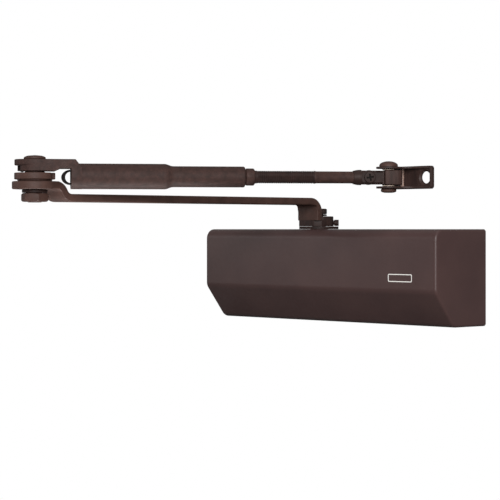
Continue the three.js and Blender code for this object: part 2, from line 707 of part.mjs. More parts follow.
// A small screw in the hub's edge grips one flat of the spindle's square.
function clampScrew() {
  const { shank, head, headStart, headEnd, tip } = CLAMP;
  const screw = turned([
    [0, tip], [shank, tip], [shank, headStart], [head, headStart], [head, headEnd], [0, headEnd],
  ], 20);
  const socket = upright(polygon(6, 2.5), headEnd - 2, headEnd + 1);
  return cut(screw, socket).rotate([0, 90, 0]).rotate([0, 0, CLAMP.turn]).translate([0, 0, CLAMP.z]);
}

// A hexagon with its corners taken off above and below, as on a forged nut or screw head.
function hexagon(acrossFlats, bottom, top) {
  const corner = acrossFlats / 2 / Math.cos(Math.PI / 6);
  const flat = acrossFlats / 2 * 0.96;
  const chamfer = (corner - flat) * 0.55;
  const blank = turned([
    [0, bottom], [flat, bottom], [corner, bottom + chamfer], [corner, top - chamfer], [flat, top],
    [0, top],
  ], 30);
  return upright(polygon(6, acrossFlats), bottom - 1, top + 1).intersect(blank);
}

add(atSpindle, 'main_arm', mainArm(), ARM_BRONZE);
add(atSpindle, 'clamp_screw', clampScrew(), DARK_BRONZE);
add(atSpindle, 'arm_washer', ring(
  ARM_SCREW.shank + 0.5, ARM_WASHER.radius, ARM_WASHER.bottom, ARM_WASHER.top, 28), DARK_BRONZE);
const screwSeat = ARM_WASHER.top + 0.2;
add(atSpindle, 'arm_screw', union(
  hexagon(ARM_SCREW.acrossFlats, screwSeat, screwSeat + ARM_SCREW.headHeight),
  rod(ARM_SCREW.shank, SPINDLE.top - ARM_SCREW.engaged, screwSeat + 1, 20)), DARK_BRONZE);

// ---- Elbow --------------------------------------------------------------------------------------

const ELBOW_WASHER = { bottom: 69.3, top: 71.7, radius: 10 };
const ELBOW_NUT = { bottom: 62.2, top: 69, turn: -20 };
const DISC = {
  bottom: 79.7,
  top: 84.9,
  radius: 16,
  notchFloor: 12.8,
  hub: 13.6,
  hubBottom: 78.55,
  hubTop: 85.9,
};
const BALL = { radius: 2.5, at: 9.8, z: 87.75 };

function elbowBolt() {
  const { bolt, headBottom, headTop, head, bottom } = ELBOW;
  return turned([
    [0, bottom], [bolt - 0.8, bottom], [bolt, bottom + 0.8], [bolt, headBottom],
    [head, headBottom], [head, headBottom + 1.2], [head * 0.86, headTop - 0.6],
    [head * 0.6, headTop - 0.1], [0, headTop],
  ], 30);
}

function holdOpenDisc() {
  const disc = union(
    rod(DISC.radius, DISC.bottom, DISC.top, 30),
    rod(DISC.hub, DISC.hubBottom, DISC.bottom + 1, 30),
    rod(7.8, DISC.top - 1, DISC.hubTop, 24));
  const notch = box([DISC.notchFloor, -3.6, DISC.bottom - 3], [20, 3.6, DISC.top + 3]);
  const detent = rod(2.2, DISC.top - 1.2, DISC.top + 3, 16).translate([BALL.at, 0, 0]);
  const turnToRod = THREE.MathUtils.radToDeg(FOREARM.yaw);
  return cut(
    disc,
    notch.rotate([0, 0, 30]),
    detent.rotate([0, 0, turnToRod + 180]),
    rod(ELBOW.bolt + GAP, 70, 90, 24));
}

const elbowNut = () => cut(
  hexagon(19, ELBOW_NUT.bottom, ELBOW_NUT.top), rod(ELBOW.bolt + GAP, 60, 72, 24))
  .rotate([0, 0, ELBOW_NUT.turn]);

add(atElbow, 'elbow_bolt', elbowBolt(), ARM_BRONZE);
add(atElbow, 'hold_open_disc', holdOpenDisc(), ARM_BRONZE);
add(atElbow, 'elbow_washer',
  ring(ELBOW.bolt + GAP, ELBOW_WASHER.radius, ELBOW_WASHER.bottom, ELBOW_WASHER.top), DARK_BRONZE);
add(atElbow, 'elbow_nut', elbowNut(), ARM_BRONZE);

// ---- Forearm ------------------------------------------------------------------------------------

// The lug that turns on the elbow bolt, seen from the side: a flat plate that turns down at its end.
function lugSide() {
  const floor = FOREARM.z - LUG.shoulderHalf;
  const end = FOREARM.tubeStart;
  return new THREE.Shape(roundedPath([
    { x: -30, y: LUG.top },
    { x: -30, y: LUG.bottom },
    { x: FOREARM.blockStart, y: LUG.bottom },
    { x: FOREARM.blockStart, y: floor },
    { x: end, y: floor },
    { x: end, y: LUG.top - 6.8 },
    { x: end - 5.1, y: LUG.top, radius: 1.2 },
  ], true));
}

// The deep part under the plate, relieved at its end for the tie loop.
function lugDeepSide() {
  const shoulder = FOREARM.blockStart + 1;
  return new THREE.Shape([
    new THREE.Vector2(-30, LUG.top - 1),
    new THREE.Vector2(-30, LUG.deepBottom),
    new THREE.Vector2(LUG.deepEnd, LUG.deepBottom),
    new THREE.Vector2(LUG.reliefStart, LUG.relief),
    new THREE.Vector2(shoulder, LUG.relief),
    new THREE.Vector2(shoulder, LUG.top - 1),
  ]);
}

// The lug from above: a half ellipse round the bolt that narrows to the tube's width.
function lugOutline(rear) {
  const shape = new THREE.Shape();
  shape.absellipse(0, 0, rear, LUG.half, Math.PI / 2, 1.5 * Math.PI);
  shape.lineTo(FOREARM.blockStart, -LUG.shoulderHalf);
  shape.lineTo(FOREARM.tubeStart + 1, -LUG.shoulderHalf);
  shape.lineTo(FOREARM.tubeStart + 1, LUG.shoulderHalf);
  shape.lineTo(FOREARM.blockStart, LUG.shoulderHalf);
  return upright(shape, 60, 100, 8);
}

function tieLoop() {
  const centreZ = FOREARM.z - 0.9;
  const half = (reach, height) => {
    const shape = new THREE.Shape();
    shape.absellipse(FOREARM.blockStart, centreZ, reach, height, Math.PI / 2, 1.5 * Math.PI);
    shape.lineTo(FOREARM.blockStart + 1, centreZ - height);
    shape.lineTo(FOREARM.blockStart + 1, centreZ + height);
    return shape;
  };
  return cut(sideways(half(7.4, 6), 3.2, 6), sideways(half(4.4, 4.4), 8, 5));
}

function forearmTube() {
  const { z, tubeStart, tubeRadius, neck, sleeveStart, sleeveRadius, sleeveEnd, bore } = FOREARM;
  const along = (part) => layAlongX(part, 0, 0, z);
  const roundBelow = union(
    along(rod(LUG.shoulderHalf, 20, tubeStart + 1, 30)),
    box([-30, -30, z], [tubeStart + 1, 30, 100]));
  const lug = union(
    sideways(lugSide(), 50).intersect(lugOutline(LUG.rear)).intersect(roundBelow),
    sideways(lugDeepSide(), 50).intersect(lugOutline(LUG.half)));
  const pocket = box([11.4, -1.25, LUG.deepBottom + 0.6], [16, 1.25, LUG.bottom - 0.4])
    .rotate([0, 0, 205]);
  const tube = turned([
    [0, tubeStart - 4], [tubeRadius, tubeStart - 4], [tubeRadius, neck],
    [sleeveRadius + 0.4, sleeveStart - 0.8], [sleeveRadius, sleeveStart],
    [sleeveRadius, sleeveEnd - 2], [sleeveRadius - 0.6, sleeveEnd - 0.6],
    [sleeveRadius - 2, sleeveEnd], [0, sleeveEnd],
  ], 30);
  const bores = [
    along(rod(bore, tubeStart + 2, sleeveEnd + 1, 24)),
    along(rod(tubeRadius - 2, tubeStart + 2, neck - 1, 24)),
    rod(ELBOW.bolt + GAP, 80, 100, 24),
    rod(BALL.radius + GAP, LUG.deepBottom - 1, 90.5, 16).translate([-BALL.at, 0, 0]),
  ];
  return cut(union(lug, along(tube), tieLoop()), pocket, ...bores);
}

function lockCollar() {
  const { radius, acrossFlats, length, chamfer } = COLLAR;
  const blank = turned([
    [0, 0], [radius - chamfer, 0], [radius, chamfer], [radius, length - chamfer],
    [radius - chamfer, length], [0, length],
  ], 30);
  const grip = upright(polygon(12, acrossFlats), 0, length).intersect(blank);
  const hole = rod(FOREARM.bore, -1, length + 1, 24);
  return layAlongX(cut(grip, hole), FOREARM.sleeveEnd + GAP, 0, 0);
}

const forearmRod = () => layAlongX(turned([
  [0, ROD.start], [ROD.radius - 1, ROD.start], [ROD.radius, ROD.start + 1],
  [ROD.radius, ROD.step], [ROD.thin, ROD.step + 0.4], [ROD.thin, ROD.end], [0, ROD.end],
], 24), 0, 0, 0);

add(forearm, 'forearm_tube', forearmTube(), ARM_BRONZE);
add(forearm, 'detent_ball',
  solid(new THREE.SphereGeometry(BALL.radius, 12, 7)).translate([-BALL.at, 0, BALL.z]), STEEL);
add(forearmAxis, 'lock_collar', lockCollar(), ARM_BRONZE);
add(forearmAxis, 'forearm_rod', forearmRod(), DARK_BRONZE);

// ---- Rod end, swivel block and shoe -------------------------------------------------------------

const FORK = {
  start: 253.5,
  shoulder: 257.5,
  base: TILT_AT - 6.4,
  end: 277.3,
  radius: 6.15,
  flat: 4.8,                     // half the width across the two milled flats
  runout: 6.8,                   // radius in which each flat runs out round the screw
  slot: 2.6,
};
const TONGUE = { half: 2.3, radius: 5.9, neck: 5.3 };
const SWIVEL = { left: 278.7, right: 293.5, half: 7.5 };
const TILT_SCREW = { shank: 2.2, head: 4.6, headHeight: 1.5, recess: 2.9, slot: 0.7 };
const SHOE_WASHER = { radius: 5, thickness: EAR.inner - BLOCK_HALF - 0.5 };
const PIN = { shank: 3, head: 7.5, headTop: 13.2, foot: 6.4, footBottom: -12.2 };

function rodEnd() {
  const { start, shoulder, base, end, radius, flat, runout, slot } = FORK;
  const barrel = layAlongX(turned([
    [0, start], [ROD.thin + 0.5, start], [radius, shoulder], [radius, end - 0.5],
    [radius - 0.5, end], [0, end],
  ], 30), 0, 0, 0);
  const millings = [1, -1].map((side) => union(
    rod(runout, flat, 12, 30).rotate([-90 * side, 0, 0]).translate([TILT_AT, 0, 0]),
    box([TILT_AT, side > 0 ? flat : -12, -20], [end + 1, side > 0 ? 12 : -flat, 20])));
  const opening = box([base, -slot, -20], [end + 1, slot, 20]);
  const screwHole = rod(TILT_SCREW.shank + GAP, -20, 20, 20).rotate([90, 0, 0])
    .translate([TILT_AT, 0, 0]);
  const rodSocket = layAlongX(rod(ROD.thin + 0.2, start - 1, ROD.end + GAP, 24), 0, 0, 0);
  return cut(barrel, ...millings, opening, screwHole, rodSocket);
}

// A low round head on the outer flat; its cross recess is two crossed slots.
function tiltScrew() {
  const { shank, head, headHeight, recess, slot } = TILT_SCREW;
  const seat = FORK.flat + GAP;
  const top = seat + headHeight;
  const screw = turned([
    [0, -FORK.flat], [shank, -FORK.flat], [shank, seat], [head, seat], [head, top - 0.7],
    [head - 0.6, top - 0.1], [head - 1.4, top], [0, top],
  ], 28);
  const slots = [0, 90].map((turn) =>
    box([-recess, -slot, top - 1.1], [recess, slot, top + 1]).rotate([0, 0, turn + 10]));
  return cut(screw, ...slots).rotate([90, 0, 0]).translate([TILT_AT, 0, 0]);
}

function swivelBlock() {
  const tongue = union(
    rod(TONGUE.radius, -TONGUE.half, TONGUE.half, 24).rotate([90, 0, 0]).translate([TILT_AT, 0, 0]),
    box([TILT_AT, -TONGUE.half, -TONGUE.neck], [SWIVEL.left + 1, TONGUE.half, TONGUE.neck]));
  const outline = roundedRectangle(SWIVEL.left, -SWIVEL.half, SWIVEL.right, SWIVEL.half, 5);
  const square = roundedRectangle(SWIVEL.left, -SWIVEL.half, SWIVEL.right - 6, SWIVEL.half, 1);
  const eye = union(
    upright(outline, -BLOCK_HALF, BLOCK_HALF, 3), upright(square, -BLOCK_HALF, BLOCK_HALF, 1));
  const screwHole = rod(TILT_SCREW.shank + GAP, -10, 10, 20).rotate([90, 0, 0])
    .translate([TILT_AT, 0, 0]);
  const pinHole = rod(PIN.shank + GAP, -20, 20, 24).translate([PIN_AT, 0, 0]);
  return cut(union(tongue, eye), screwHole, pinHole);
}

function shoePin() {
  const seat = EAR.outer + 0.25;
  const dome = [];
  const steps = 6;
  for (let i = 0; i <= steps; i += 1) {
    const angle = Math.PI / 2 * i / steps;
    dome.push([PIN.head * Math.cos(angle), seat + 0.8 + (PIN.headTop - seat - 0.8) * Math.sin(angle)]);
  }
  dome[steps][0] = 0;
  return turned([
    [0, PIN.footBottom], [PIN.foot - 0.4, PIN.footBottom + 0.4], [PIN.foot, -seat - 1.2],
    [PIN.foot - 0.5, -seat], [PIN.shank, -seat], [PIN.shank, seat], [PIN.head, seat], ...dome,
  ], 30);
}

// A tray-shaped bracket: a web that rests on the frame, a rim round it, and two ears on the pin.
function shoeBracket() {
  const { inner, outer, radius } = EAR;
  const { left, right, half, back, web, rimFront, endFront, rim } = SHOE;
  const { hole, countersink, sinkDepth } = SHOE;
  const rimStart = radius + 6;
  const ear = new THREE.Shape();
  ear.moveTo(left, back - 1);
  ear.lineTo(-radius, 0);
  ear.absarc(0, 0, radius, Math.PI, 2 * Math.PI);
  ear.lineTo(radius + 1, 4);
  ear.lineTo(rimStart, rimFront);
  ear.lineTo(right - 6, endFront);
  ear.lineTo(right - 1, endFront);
  ear.lineTo(right - 1, back - 1);
  const ears = [[inner, outer], [-outer, -inner]].map(([low, high]) => upright(ear, low, high, 7));
  const face = roundedRectangle(left, -half, right, half, 2.4);
  const screwHoles = SHOE.holes.map((x) => turned([
    [0, -1], [hole, -1], [hole, web - sinkDepth], [countersink, web], [countersink, web + 1],
    [0, web + 1],
  ], 30).rotate([90, 0, 0]).translate([x, back, 0]));
  const webPlate = cut(sideways(face, web, 3).translate([0, back - web / 2, 0]), ...screwHoles);
  const rimDepth = back - endFront - 1;
  const rimBlock = sideways(face, rimDepth, 3).translate([0, endFront + rimDepth / 2, 0]);
  const hollow = sideways(
    roundedRectangle(left - 10, -inner, right - rim, inner, 1.4), 20, 2).translate([0, 10, 0]);
  const rimWall = cut(rimBlock, hollow).intersect(box([rimStart, 0, -20], [right, back, 20]));
  const bead = rod(SHOE.bead.radius, -inner - 0.5, inner + 0.5, 16)
    .translate([SHOE.bead.x, back - web, 0]);
  const pinHole = rod(PIN.shank + GAP, -20, 20, 24);
  return cut(union(webPlate, ...ears, rimWall, bead), pinHole);
}

add(forearmAxis, 'rod_end', rodEnd(), DARK_BRONZE);
add(forearmAxis, 'tilt_screw', tiltScrew(), DARK_BRONZE);
add(forearmAxis, 'swivel_block', swivelBlock(), ARM_BRONZE);
add(atPin, 'shoe_bracket', shoeBracket(), DARK_BRONZE);
add(atPin, 'shoe_pin', shoePin(), ARM_BRONZE);
[['upper_shoe_washer', BLOCK_HALF + 0.25], ['lower_shoe_washer', 0.25 - EAR.inner]].forEach(
  ([name, bottom]) => add(atPin, name, ring(
    PIN.shank + GAP, SHOE_WASHER.radius, bottom, bottom + SHOE_WASHER.thickness), NYLON));

export default closer;
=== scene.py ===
"""Looks for a surface-mounted door closer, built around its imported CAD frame.

Shapes are worked out in millimetres, in local frames that start at the CAD's own axes, and are
turned into metres in the row frame when a piece is finished.
"""

import math

import bmesh
import bpy
from mathutils import Matrix, Vector


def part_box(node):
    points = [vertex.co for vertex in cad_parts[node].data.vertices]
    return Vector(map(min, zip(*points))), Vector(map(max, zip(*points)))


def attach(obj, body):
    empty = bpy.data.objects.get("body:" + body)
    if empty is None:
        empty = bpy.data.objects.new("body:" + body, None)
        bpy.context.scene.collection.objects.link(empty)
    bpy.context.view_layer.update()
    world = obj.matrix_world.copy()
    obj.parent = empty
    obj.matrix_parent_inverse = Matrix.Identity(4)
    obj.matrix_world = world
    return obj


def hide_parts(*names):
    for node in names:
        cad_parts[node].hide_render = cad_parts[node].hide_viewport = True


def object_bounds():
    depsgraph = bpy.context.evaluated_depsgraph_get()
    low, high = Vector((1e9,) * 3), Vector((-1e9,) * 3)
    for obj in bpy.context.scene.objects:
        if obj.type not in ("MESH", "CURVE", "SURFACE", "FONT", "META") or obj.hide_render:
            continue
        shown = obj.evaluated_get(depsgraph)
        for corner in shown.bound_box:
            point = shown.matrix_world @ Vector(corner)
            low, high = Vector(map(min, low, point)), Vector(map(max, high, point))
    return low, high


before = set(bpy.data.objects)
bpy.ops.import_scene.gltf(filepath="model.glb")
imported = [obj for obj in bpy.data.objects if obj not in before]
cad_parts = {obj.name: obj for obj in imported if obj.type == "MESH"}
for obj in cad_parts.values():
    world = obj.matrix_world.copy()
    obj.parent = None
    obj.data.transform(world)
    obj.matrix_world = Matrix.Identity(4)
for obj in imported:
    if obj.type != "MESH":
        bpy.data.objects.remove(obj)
CAD_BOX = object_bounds()
MM = 0.001


# ---- Places in the frame ----

def centre(node):
    """The middle of a CAD node, in millimetres."""
    low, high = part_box(node)
    return (low + high) / 2 / MM


def span(node, axis):
    """Where a CAD node starts and ends along one axis, in millimetres."""
    low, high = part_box(node)
    return low[axis] / MM, high[axis] / MM


def frame_at(x, y, z=0.0, yaw=0.0):
    return Matrix.Translation((x, y, z)) @ Matrix.Rotation(yaw, 4, "Z")


SPINDLE = centre("dust_ring")
ELBOW = centre("elbow_nut")
PIN = centre("shoe_pin")
ROD_Z = centre("forearm_rod").z
YAW = math.atan2(PIN.y - ELBOW.y, PIN.x - ELBOW.x)
PIN_AT = math.hypot(PIN.y - ELBOW.y, PIN.x - ELBOW.x)

ROOM = Matrix.Identity(4)
AT_SPINDLE = frame_at(SPINDLE.x, SPINDLE.y)
ALONG_ARM = frame_at(SPINDLE.x, SPINDLE.y, 0, -math.pi / 2)
AT_ELBOW = frame_at(ELBOW.x, ELBOW.y)
AT_FOREARM = frame_at(ELBOW.x, ELBOW.y, 0, YAW)
ALONG_ROD = frame_at(ELBOW.x, ELBOW.y, ROD_Z, YAW)
AT_PIN = frame_at(PIN.x, PIN.y, ROD_Z)

# Outlines drawn flat: along X they stand in Y and Z, and across they stand in X and Z.
ALONG_X = Matrix(((0, 0, 1, 0), (1, 0, 0, 0), (0, 1, 0, 0), (0, 0, 0, 1)))
ACROSS = Matrix(((1, 0, 0, 0), (0, 0, -1, 0), (0, 1, 0, 0), (0, 0, 0, 1)))


def shift(x=0.0, y=0.0, z=0.0):
    return Matrix.Translation((x, y, z))


def spin(degrees, axis="Z"):
    return Matrix.Rotation(math.radians(degrees), 4, axis)


# ---- Outlines ----

def softened(path, radius, closed=False, steps=4):
    """The path with its corners rounded; a corner may name its own radius as a third number."""
    result = []
    count = len(path)
    for i, corner in enumerate(path):
        here = Vector(corner[:2])
        if not closed and i in (0, count - 1):
            result.append(tuple(here))
            continue
        to_before = Vector(path[i - 1][:2]) - here
        to_after = Vector(path[(i + 1) % count][:2]) - here
        wanted = corner[2] if len(corner) > 2 else radius
        reach = min(wanted, 0.48 * to_before.length, 0.48 * to_after.length)
        if reach < 0.02 or to_before.angle(to_after) > math.radians(172):
            result.append(tuple(here))
            continue
        start = here + to_before.normalized() * reach
        end = here + to_after.normalized() * reach
        for step in range(steps + 1):
            t = step / steps
            point = start * (1 - t) ** 2 + here * 2 * t * (1 - t) + end * t * t
            result.append(tuple(point))
    return result


def arcs(corners, closed=True, steps=8):
    """Corner points (x, y, radius) joined by straight runs, with true arcs at the corners."""
    path = []
    count = len(corners)
    for i, (x, y, radius) in enumerate(corners):
        here = Vector((x, y))
        if radius == 0 or (not closed and i in (0, count - 1)):
            path.append((x, y))
            continue
        to_before = (Vector(corners[i - 1][:2]) - here).normalized()
        to_after = (Vector(corners[(i + 1) % count][:2]) - here).normalized()
        half = to_before.angle(to_after) / 2
        middle = here + (to_before + to_after).normalized() * radius / math.sin(half)
        start = here + to_before * radius / math.tan(half) - middle
        end = here + to_after * radius / math.tan(half) - middle
        sweep = math.atan2(start.x * end.y - start.y * end.x, start.dot(end))
        for step in range(steps + 1):
            turn = sweep * step / steps
            spun = Vector((
                start.x * math.cos(turn) - start.y * math.sin(turn),
                start.x * math.sin(turn) + start.y * math.cos(turn)))
            path.append(tuple(middle + spun))
    return path


def rounded_rectangle(left, bottom, right, top, radius, steps=8):
    return arcs([(left, bottom, radius), (right, bottom, radius),
                 (right, top, radius), (left, top, radius)], steps=steps)


def polygon(sides, across_flats, turn=0.0):
    radius = across_flats / 2 / math.cos(math.pi / sides)
    angles = [turn + 2 * math.pi * i / sides for i in range(sides)]
    return [(radius * math.cos(a), radius * math.sin(a)) for a in angles]


def arc(x, y, radius, start, end, steps=24):
    angles = [math.radians(start + (end - start) * i / steps) for i in range(steps + 1)]
    return [(x + radius * math.cos(a), y + radius * math.sin(a)) for a in angles]


def inset(outline, distance):
    """The closed outline, drawn counter-clockwise, moved inwards."""
    result = []
    count = len(outline)
    for i in range(count):
        before = (Vector(outline[i]) - Vector(outline[i - 1])).normalized()
        after = (Vector(outline[(i + 1) % count]) - Vector(outline[i])).normalized()
        first, second = Vector((-before.y, before.x)), Vector((-after.y, after.x))
        miter = (first + second) / max(1 + first.dot(second), 0.3)
        result.append(tuple(Vector(outline[i]) + miter * distance))
    return result


# ---- Solids: points and faces in millimetres ----

def moved(shape, matrix):
    points, faces = shape
    return [tuple(matrix @ Vector(p)) for p in points], faces


def rings_to_faces(rings, closed):
    faces = []
    pairs = list(zip(rings, rings[1:]))
    if closed:
        pairs.append((rings[-1], rings[0]))
    for low, high in pairs:
        for i in range(len(low)):
            j = (i + 1) % len(low)
            face = list(dict.fromkeys((low[i], low[j], high[j], high[i])))
            if len(face) > 2:
                faces.append(face)
    return faces


def lathe(profile, segments=64, closed=False):
    """A profile of (radius, height) points turned about Z."""
    points, rings = [], []
    turns = [2 * math.pi * i / segments for i in range(segments)]
    for radius, height in profile:
        if radius < 1e-6:
            rings.append([len(points)] * segments)
            points.append((0.0, 0.0, height))
        else:
            rings.append(list(range(len(points), len(points) + segments)))
            points += [(radius * math.cos(a), radius * math.sin(a), height) for a in turns]
    return points, rings_to_faces(rings, closed)


def rod(radius, bottom, top, edge=0.0, segments=64):
    profile = [(0, bottom), (radius, bottom), (radius, top), (0, top)]
    return lathe(softened(profile, edge), segments)


def ring(inner, outer, bottom, top, edge=0.25, segments=64):
    profile = [(inner, bottom), (outer, bottom), (outer, top), (inner, top)]
    return lathe(softened(profile, edge, closed=True), segments, closed=True)


def capped(points, rings):
    """A solid from rings of points, closed by its first and last ring."""
    return points, rings_to_faces(rings, False) + [rings[0][::-1], rings[-1]]


def stack(layers):
    """A solid from matching outlines, each at its own height."""
    points, rings = [], []
    for outline, height in layers:
        rings.append(list(range(len(points), len(points) + len(outline))))
        points += [(x, y, height) for x, y in outline]
    return capped(points, rings)


def slab(outline, low, high, edge=0.4, steps=3):
    """An outline drawn up from one height to another, with rounded edges."""
    if edge <= 0:
        return stack([(outline, low), (outline, high)])
    layers = []
    for step in range(steps + 1):
        turn = math.pi / 2 * step / steps
        layers.append((inset(outline, edge - edge * math.sin(turn)),
                       low + edge - edge * math.cos(turn)))
    layers += [(path, low + high - height) for path, height in reversed(layers)]
    return stack(layers)


def box(low, high, edge=0.0):
    outline = [(low[0], low[1]), (high[0], low[1]), (high[0], high[1]), (low[0], high[1])]
    return slab(outline, low[2], high[2], edge)


def drill(radius, x, z=0.0, low=-20, high=20, segments=32):
    """A round cutter that lies along Y."""
    return moved(rod(radius, low, high, segments=segments), shift(x, 0, z) @ ACROSS)


# ---- Solids as objects, joined and cut ----

def solid(shape):
    """An object from points and faces, still in millimetres, with its faces outward."""
    mesh = bpy.data.meshes.new("solid")
    mesh.from_pydata(shape[0], [], shape[1])
    tidy(mesh)
    made = bpy.data.objects.new("solid", mesh)
    bpy.context.scene.collection.objects.link(made)
    return made


def tidy(mesh, flat=0.0):
    work = bmesh.new()
    work.from_mesh(mesh)
    bmesh.ops.remove_doubles(work, verts=work.verts, dist=1e-4)
    bmesh.ops.dissolve_degenerate(work, edges=work.edges, dist=1e-4)
    if flat:
        bmesh.ops.dissolve_limit(
            work, angle_limit=math.radians(flat), verts=work.verts, edges=work.edges)
    bmesh.ops.recalc_face_normals(work, faces=work.faces)
    work.to_mesh(mesh)
    work.free()


def apply_modifiers(made):
    graph = bpy.context.evaluated_depsgraph_get()
    mesh = bpy.data.meshes.new_from_object(made.evaluated_get(graph))
    old = made.data
    made.modifiers.clear()
    made.data = mesh
    bpy.data.meshes.remove(old)


def as_object(shape):
    return shape if isinstance(shape, bpy.types.Object) else solid(shape)


def combine(first, shape, operation):
    other = as_object(shape)
    step = first.modifiers.new("combine", "BOOLEAN")
    step.operation = operation
    step.solver = "EXACT"
    step.object = other
    apply_modifiers(first)
    bpy.data.objects.remove(other)


def combined(first, shapes, operation):
    made = as_object(first)
    for shape in shapes:
        combine(made, shape, operation)
    return made


def union(first, *shapes):
    return combined(first, shapes, "UNION")


def cut(first, *shapes):
    return combined(first, shapes, "DIFFERENCE")


def common(first, *shapes):
    return combined(first, shapes, "INTERSECT")


def finish(made, name, body, finish_material, replaced=(), place=ROOM, edge=0.0, sharp=32):
    """Rounds the cut edges, moves the piece to its place in metres and ties it to its body."""
    piece = as_object(made)
    tidy(piece.data, 0.3)
    if edge:
        bevel = piece.modifiers.new("edges", "BEVEL")
        bevel.width = edge
        bevel.segments = 2
        bevel.limit_method = "ANGLE"
        bevel.angle_limit = math.radians(40)
        bevel.use_clamp_overlap = True
        apply_modifiers(piece)
        tidy(piece.data)
    piece.data.transform(Matrix.Scale(MM, 4) @ place)
    piece.data.polygons.foreach_set("use_smooth", [True] * len(piece.data.polygons))
    piece.data.set_sharp_from_angle(angle=math.radians(sharp))
    piece.data.materials.clear()
    piece.data.materials.append(finish_material)
    piece.name = name
    piece.data.name = name
    if replaced:
        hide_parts(*replaced)
    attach(piece, body)
    return piece


def paint_where(piece, place, inside, second):
    """Gives a second finish to the faces whose centres, in local millimetres, pass a test."""
    piece.data.materials.append(second)
    back = (Matrix.Scale(MM, 4) @ place).inverted()
    for face in piece.data.polygons:
        if inside(back @ face.center):
            face.material_index = 1


# ---- Finishes ----


def linear_colour(screen):
    """A linear colour from 8-bit red, green and blue screen values."""
    def linear(value):
        share = value / 255
        return share / 12.92 if share <= 0.04045 else ((share + 0.055) / 1.055) ** 2.4
    return *(linear(value) for value in screen), 1.0


def node_material(name, base, shade, roughness, metallic=0.0, specular=0.5, spread=0.06,
                  blotch=22.0, grain=1300, speckle=0.6, bump=0.4, depth=0.00008,
                  stretch=(1, 1, 1)):
    """A finish with slow colour drift, fine speckle, uneven gloss and a fine bump."""
    made = bpy.data.materials.new(name)
    made.use_nodes = True
    tree = made.node_tree
    link = tree.links.new
    shader = tree.nodes["Principled BSDF"]
    shader.inputs["Metallic"].default_value = metallic
    shader.inputs["Specular IOR Level"].default_value = specular
    place = tree.nodes.new("ShaderNodeTexCoord")
    stretched = tree.nodes.new("ShaderNodeMapping")
    stretched.inputs["Scale"].default_value = stretch
    link(place.outputs["Object"], stretched.inputs["Vector"])

    def noise(scale, detail, source=stretched.outputs["Vector"]):
        made_noise = tree.nodes.new("ShaderNodeTexNoise")
        made_noise.inputs["Scale"].default_value = scale
        made_noise.inputs["Detail"].default_value = detail
        link(source, made_noise.inputs["Vector"])
        return made_noise.outputs["Fac"]

    def mix(factor, first, second):
        mixed = tree.nodes.new("ShaderNodeMix")
        mixed.data_type = "RGBA"
        for socket, value in ((0, factor), (6, first), (7, second)):
            if isinstance(value, bpy.types.NodeSocket):
                link(value, mixed.inputs[socket])
            else:
                mixed.inputs[socket].default_value = value
        return mixed.outputs[2]

    def ranged(source, low, high, start=0.3, end=0.7):
        scaled = tree.nodes.new("ShaderNodeMapRange")
        for socket, value in ((1, start), (2, end), (3, low), (4, high)):
            scaled.inputs[socket].default_value = value
        link(source, scaled.inputs[0])
        return scaled.outputs[0]

    drift = ranged(noise(blotch, 4.0), 0.0, 1.0)
    fine = noise(grain, 5.0)
    middle = noise(grain / 6, 3.0)
    light, dark = linear_colour(base), linear_colour(shade)
    speckled = mix(ranged(fine, 0.0, speckle), mix(drift, light, dark), dark)
    link(speckled, shader.inputs["Base Color"])
    link(ranged(middle, roughness - spread, roughness + spread), shader.inputs["Roughness"])
    height = tree.nodes.new("ShaderNodeMath")
    height.operation = "MULTIPLY_ADD"
    height.inputs[1].default_value = 0.5
    link(fine, height.inputs[0])
    link(middle, height.inputs[2])
    bumped = tree.nodes.new("ShaderNodeBump")
    bumped.inputs["Strength"].default_value = bump
    bumped.inputs["Distance"].default_value = depth
    link(height.outputs[0], bumped.inputs["Height"])
    link(bumped.outputs["Normal"], shader.inputs["Normal"])
    return made


COVER_PAINT = node_material(
    "cover_bronze", (66, 48, 46), (57, 41, 40), 0.4,
    specular=0.24, grain=1800, speckle=0.4, bump=0.25, depth=0.00003)
ARM_PAINT = node_material(
    "arm_bronze", (70, 49, 43), (53, 37, 32), 0.55,
    specular=0.16, blotch=90, grain=1500, depth=0.00006)
TUBE_PAINT = node_material(
    "tube_bronze", (61, 42, 38), (41, 29, 26), 0.6,
    specular=0.12, blotch=260, grain=900, speckle=0.8, bump=0.7, depth=0.00012)
STREAKED_PAINT = node_material(
    "streaked_bronze", (64, 46, 42), (42, 31, 28), 0.55,
    specular=0.12, blotch=420, grain=1200, stretch=(1, 1, 0.12))
DARK_PAINT = node_material(
    "dark_bronze", (46, 30, 26), (29, 20, 18), 0.55,
    specular=0.14, blotch=140, grain=1500, bump=0.5)
COLLAR_PAINT = node_material(
    "collar_bronze", (62, 43, 38), (44, 31, 28), 0.6,
    specular=0.12, blotch=200, grain=1200, bump=0.5)
SHOE_PAINT = node_material(
    "shoe_bronze", (54, 38, 34), (34, 24, 22), 0.5,
    specular=0.16, blotch=320, stretch=(1, 1, 0.15))
# A light bronze that paints in the highlight along the shoe's bead: painted highlight, not wear.
BEAD_HIGHLIGHT_PAINT = node_material(
    "bead_highlight_bronze", (150, 124, 112), (118, 96, 86), 0.45,
    specular=0.3, blotch=300, speckle=0.5)
SHADOW_PAINT = node_material(
    "shadowed_bronze", (22, 15, 13), (12, 9, 8), 0.7,
    specular=0.08, blotch=240, grain=1400, speckle=0.5)
CAST = node_material(
    "cast_aluminium", (160, 161, 163), (122, 124, 128), 0.5,
    metallic=0.9, blotch=60, grain=700, speckle=0.5, bump=0.8, depth=0.0002, spread=0.1)
ZINC = node_material(
    "zinc_steel", (186, 188, 190), (150, 150, 152), 0.32,
    metallic=1.0, blotch=45, grain=1600, speckle=0.4, bump=0.3, depth=0.00004, spread=0.1)
SPRING_STEEL = node_material(
    "spring_steel", (96, 97, 104), (66, 66, 72), 0.36,
    metallic=1.0, blotch=80, grain=1200, speckle=0.5, depth=0.00005)
